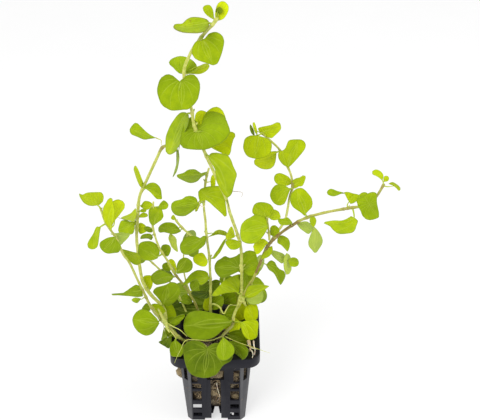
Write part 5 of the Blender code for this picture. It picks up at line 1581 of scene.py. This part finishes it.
def side_cutters(quarter):
    """One side's openings: slot, windows, corner window, gap between feet, drain holes, floor's slot."""
    outside = -RIM_HALF
    inside = -(BODY_BASE_HALF - WALL - CUT_WITHIN)
    spans = [((-SLOT_HALF, -CUT_PAST), (SLOT_HALF, SLOT_TOP))]
    for low, high in WINDOW_ROWS:
        spans.append(((WINDOW_FROM, low), (WINDOW_TO, high)))
        spans.append(((-WINDOW_TO, low), (-WINDOW_FROM, high)))
    for left, right, low in TOP_WINDOWS:
        spans.append(((left, low), (right, TOP_WINDOW_ROW[1])))
    cutters = []
    for number, ((left, low), (right, high)) in enumerate(spans):
        name = f"opening_{quarter}_{number}"
        cutters.append(block(name, (left, outside, low), (right, inside, high), quarter))
    corner = block(
        f"corner_{quarter}", (-CORNER_WINDOW_HALF, outside * math.sqrt(2), CORNER_WINDOW_BASE),
        (CORNER_WINDOW_HALF, -BODY_BASE_HALF, TOP_WINDOW_ROW[1]), quarter + 0.5,
    )
    foot_gap = block(
        f"foot_gap_{quarter}", (-FOOT_FROM, outside, -CUT_PAST), (FOOT_FROM, -HUB_HALF, FOOT_RISE), quarter,
    )
    floor_past = FOOT_RISE + FLOOR + CUT_PAST
    for number, (left, front, right, back) in enumerate(DRAIN_HOLES):
        name = f"drain_{quarter}_{number}"
        cutters.append(block(name, (left, front, -CUT_PAST), (right, back, floor_past), quarter))
    return cutters + [corner, foot_gap, floor_slot(quarter)]


def cut_out(target, tools):
    """A shape with all the tools cut out of it at once. Its object and the tools are gone after."""
    group = bpy.data.collections.new("tools")
    for tool in tools:
        group.objects.link(tool)
    change = target.modifiers.new("difference", "BOOLEAN")
    change.operation = "DIFFERENCE"
    change.operand_type = "COLLECTION"
    change.collection = group
    change.solver = "EXACT"
    mesh = bpy.data.meshes.new_from_object(target.evaluated_get(bpy.context.evaluated_depsgraph_get()))
    bm = bmesh.new()
    bm.from_mesh(mesh)
    bpy.data.meshes.remove(mesh)
    for old in [target, *tools]:
        bpy.data.objects.remove(old)
    return bm


def make_pot():
    inner_flat = BODY_FLAT - WALL * (math.sqrt(2) - 1)
    floor_top = FOOT_RISE + FLOOR
    rim_flat = RIM_HALF - RIM_CORNER
    skirt = RIM_HALF - WALL
    lip = POT_HEIGHT - WALL
    pot = new_object("pot_shape", lofted((
        (BODY_BASE_HALF, BODY_FLAT, 0, 0),
        (body_half(lip), BODY_FLAT, 0, lip),
        (skirt, rim_flat, 1, lip),
        (skirt, rim_flat, 1, POT_HEIGHT - RIM_DROP),
        (RIM_HALF, rim_flat, 1, POT_HEIGHT - RIM_DROP),
        (RIM_HALF, rim_flat, 1, POT_HEIGHT - RIM_EDGE),
        (RIM_HALF - RIM_EDGE, rim_flat, 1, POT_HEIGHT),
        (body_half(POT_HEIGHT) - WALL, inner_flat, 0, POT_HEIGHT),
        (body_half(floor_top) - WALL, inner_flat, 0, floor_top),
    )))
    cutters = []
    for quarter in range(4):
        cutters += side_cutters(quarter)
    bm = cut_out(pot, cutters)
    bmesh.ops.remove_doubles(bm, verts=bm.verts, dist=WELD_WITHIN * MM)
    bmesh.ops.dissolve_limit(bm, angle_limit=FLAT_WITHIN, verts=bm.verts[:], edges=bm.edges[:])
    folds = [edge for edge in bm.edges if len(edge.link_faces) == 2]
    bmesh.ops.bevel(
        bm, geom=[edge for edge in folds if edge.calc_face_angle() > EDGE_FROM], offset=EDGE_ROUND * MM,
        offset_type="OFFSET", segments=2, profile=0.5, affect="EDGES", material=-1, clamp_overlap=True,
    )
    piece("net_pot", bm, "plastic", ["pot"], 30.0)


def lumps(spot):
    """A rough height, about 0 on average."""
    return noise.fractal(spot, 0.8, 2.1, 4)


def wool_dent(place):
    """How many mm the wool's dark marks of painted shade lie within its face, near a place in mm."""
    dark = [(seen(*spot) / MM, reach) for spot, reach, colour in WOOL_MARKS if colour == WOOL_DARK_AND_SHADE]
    return WOOL_DENT * sum(reach * max(0.0, 1 - (place - spot).length / reach) for spot, reach in dark)


def swelling(place):
    """How many mm the wool swells out of the pot's top windows."""
    most = max(abs(place.x), abs(place.y))
    along = place.y if abs(place.x) == most else place.x
    middle = (TOP_WINDOW_ROW[0] + TOP_WINDOW_ROW[1]) / 2
    window = TOP_WINDOWS[1][1]
    side = max(0.0, 1 - (along / (window - SWELL_ROOM)) ** 4)
    high = max(0.0, 1 - ((place.z - middle) / SWELL_HALF_HIGH) ** 4)
    return WOOL_SWELL * side * high


def wool_half(height):
    """Half the wool's width at a height, in mm."""
    return body_half(height) - WALL - WOOL_ROOM


def make_wool():
    """The block of rooting wool, rough all over, which swells into the pot's openings."""
    bm = bmesh.new()
    bmesh.ops.create_cube(bm, size=1.0)
    bmesh.ops.subdivide_edges(bm, edges=bm.edges[:], cuts=WOOL_CUTS, use_grid_fill=True)
    flat = BODY_FLAT - WALL
    on_face = 0.499
    for vert in bm.verts:
        x, y, z = vert.co
        height = WOOL_BASE + (WOOL_TOP - WOOL_BASE) * (z + 0.5)
        half = wool_half(height)
        place = Vector((2 * x * half, 2 * y * half, height))
        past = abs(place.x) + abs(place.y) - half - flat
        if past > 0:
            place.x -= math.copysign(past / 2, place.x)
            place.y -= math.copysign(past / 2, place.y)
        rough = lumps(place * WOOL_LUMPS)
        if max(abs(x), abs(y)) > on_face:
            away = Vector((place.x, place.y, 0)).normalized()
            place += away * (-WOOL_INSET + WOOL_ROUGH * rough + swelling(place) - wool_dent(place))
        if z > on_face:
            place.z += WOOL_TOP_RISE + WOOL_TOP_ROUGH * rough
        if z < 0:
            tongue = math.exp(-((min(abs(place.x), abs(place.y)) / WOOL_TONGUE) ** 4))
            place.z += (WOOL_BASE_RISE + WOOL_BASE_ROUGH * rough + WOOL_HOLLOW * (1 - tongue)) * -2 * z
        vert.co = place * MM
    face_outward(bm)
    piece("rooting_wool_block", bm, "wool", ["rooting_wool"], 180.0)


def make_tuft():
    """The lump of wool that hangs out of the left side's front window."""
    bm = bmesh.new()
    bmesh.ops.create_icosphere(bm, subdivisions=5, radius=1.0)
    for vert in bm.verts:
        rough = lumps(vert.co * TUFT_GRAIN)
        vert.co = (TUFT_PLACE + TUFT_HALF @ vert.co * (1 + TUFT_ROUGH * rough)) * MM
    face_outward(bm)
    piece("rooting_wool_tuft", bm, "wool")


def curled_fibre(chance):
    """One short curled thread, whose steps are 1 long."""
    route = [Vector((0, 0, 0))]
    heading = Vector((1, 0, FIBRE_RISE)).normalized()
    for _ in FIBRE_RADII[1:]:
        curl = Vector([chance.uniform(-FIBRE_CURL, FIBRE_CURL) for _ in range(3)])
        heading = (heading + curl - Vector((0, 0, FIBRE_FALL))).normalized()
        route.append(route[-1] + heading)
    shape = tube(route, FIBRE_RADII, 3)
    mesh = bpy.data.meshes.new("fibre")
    shape.to_mesh(mesh)
    shape.free()
    return mesh


def make_fibres():
    """Hundreds of short curled threads that lie on the wool, on its top and its four sides by turns."""
    chance = random.Random(7)
    templates = [curled_fibre(chance) for _ in range(FIBRE_SHAPES)]
    bm = bmesh.new()
    half = wool_half(WOOL_TOP)
    flat = Matrix.Scale(FIBRE_FLAT, 4, Vector((0, 0, 1)))
    for number in range(FIBRES):
        mesh = chance.choice(templates)
        turn = Matrix.Rotation(chance.uniform(0, 2 * math.pi), 4, "Z")
        size = Matrix.Scale(chance.uniform(*FIBRE_STEP) * MM, 4) @ flat
        if number % 2:
            x, y = (chance.uniform(-half, half) for _ in range(2))
            spot = Vector((x, y, WOOL_TOP + FIBRE_ABOVE))
            facing = Matrix.Identity(4)
        else:
            height = chance.uniform(WOOL_BASE + WOOL_HOLLOW, WOOL_TOP - 1)
            anywhere = chance.uniform(-FIBRE_SPREAD, FIBRE_SPREAD)
            column = chance.choice((0.0, 0.0, -FIBRE_COLUMN, FIBRE_COLUMN, anywhere))
            across = column + chance.uniform(-FIBRE_STRAY, FIBRE_STRAY)
            spot = Vector((across, -wool_half(height) + FIBRE_WITHIN, height))
            quarter = quarter_turns(chance.randrange(4), 4)
            spot = quarter.to_3x3() @ spot
            facing = quarter @ Matrix.Rotation(math.radians(90), 4, "X")
        place = Matrix.Translation(spot * MM) @ facing @ turn @ size
        mesh.transform(place)
        bm.from_mesh(mesh)
        mesh.transform(place.inverted())
    for mesh in templates:
        bpy.data.meshes.remove(mesh)
    piece("wool_fibres", bm, "fibre")


def make_floor():
    bm = bmesh.new()
    bmesh.ops.create_grid(bm, x_segments=8, y_segments=8, size=FLOOR_HALF)
    floor = new_object("floor", bm, "floor")


def make_camera():
    data = bpy.data.cameras.new("camera")
    data.lens = VIEW_FOCAL * SENSOR_WIDE / PHOTO_WIDE
    data.sensor_width = SENSOR_WIDE
    data.clip_start = NEAREST_SEEN
    camera = bpy.data.objects.new("camera", data)
    camera.location = VIEW_FROM
    camera.rotation_euler = (math.pi / 2 - VIEW_DOWN, 0, 0)
    bpy.context.scene.collection.objects.link(camera)
    bpy.context.scene.camera = camera


def make_studio():
    """A white room: an even sky, a large soft light before the plant and a weaker one beside it."""
    world = bpy.data.worlds.new("studio")
    world.use_nodes = True
    sky = world.node_tree.nodes["Background"]
    sky.inputs["Color"].default_value = WHITE
    sky.inputs["Strength"].default_value = SKY_STRENGTH
    bpy.context.scene.world = world
    for name, place, size, power in LAMPS:
        data = bpy.data.lights.new(name, "AREA")
        data.size = size
        data.energy = power
        lamp = bpy.data.objects.new(name, data)
        lamp.location = place
        lamp.rotation_euler = (Vector(place) - Vector(LAMPS_AIM)).to_track_quat("Z", "Y").to_euler()
        bpy.context.scene.collection.objects.link(lamp)
    bpy.context.scene.view_settings.view_transform = "Standard"


MATERIALS = {
    "leaf": leaf_finish(),
    "stem": stem_finish(),
    "root": root_finish(),
    "wool": wool_finish(),
    "fibre": fibre_finish(),
    "plastic": plastic_finish(),
    "floor": floor_finish(),
}

make_camera()
make_studio()
make_floor()
make_pot()
make_wool()
make_tuft()
make_fibres()
for stem_name in STEMS:
    make_stem(stem_name)
    make_foliage(stem_name)
for root_name, root in ROOTS.items():
    make_root(root_name, *root)
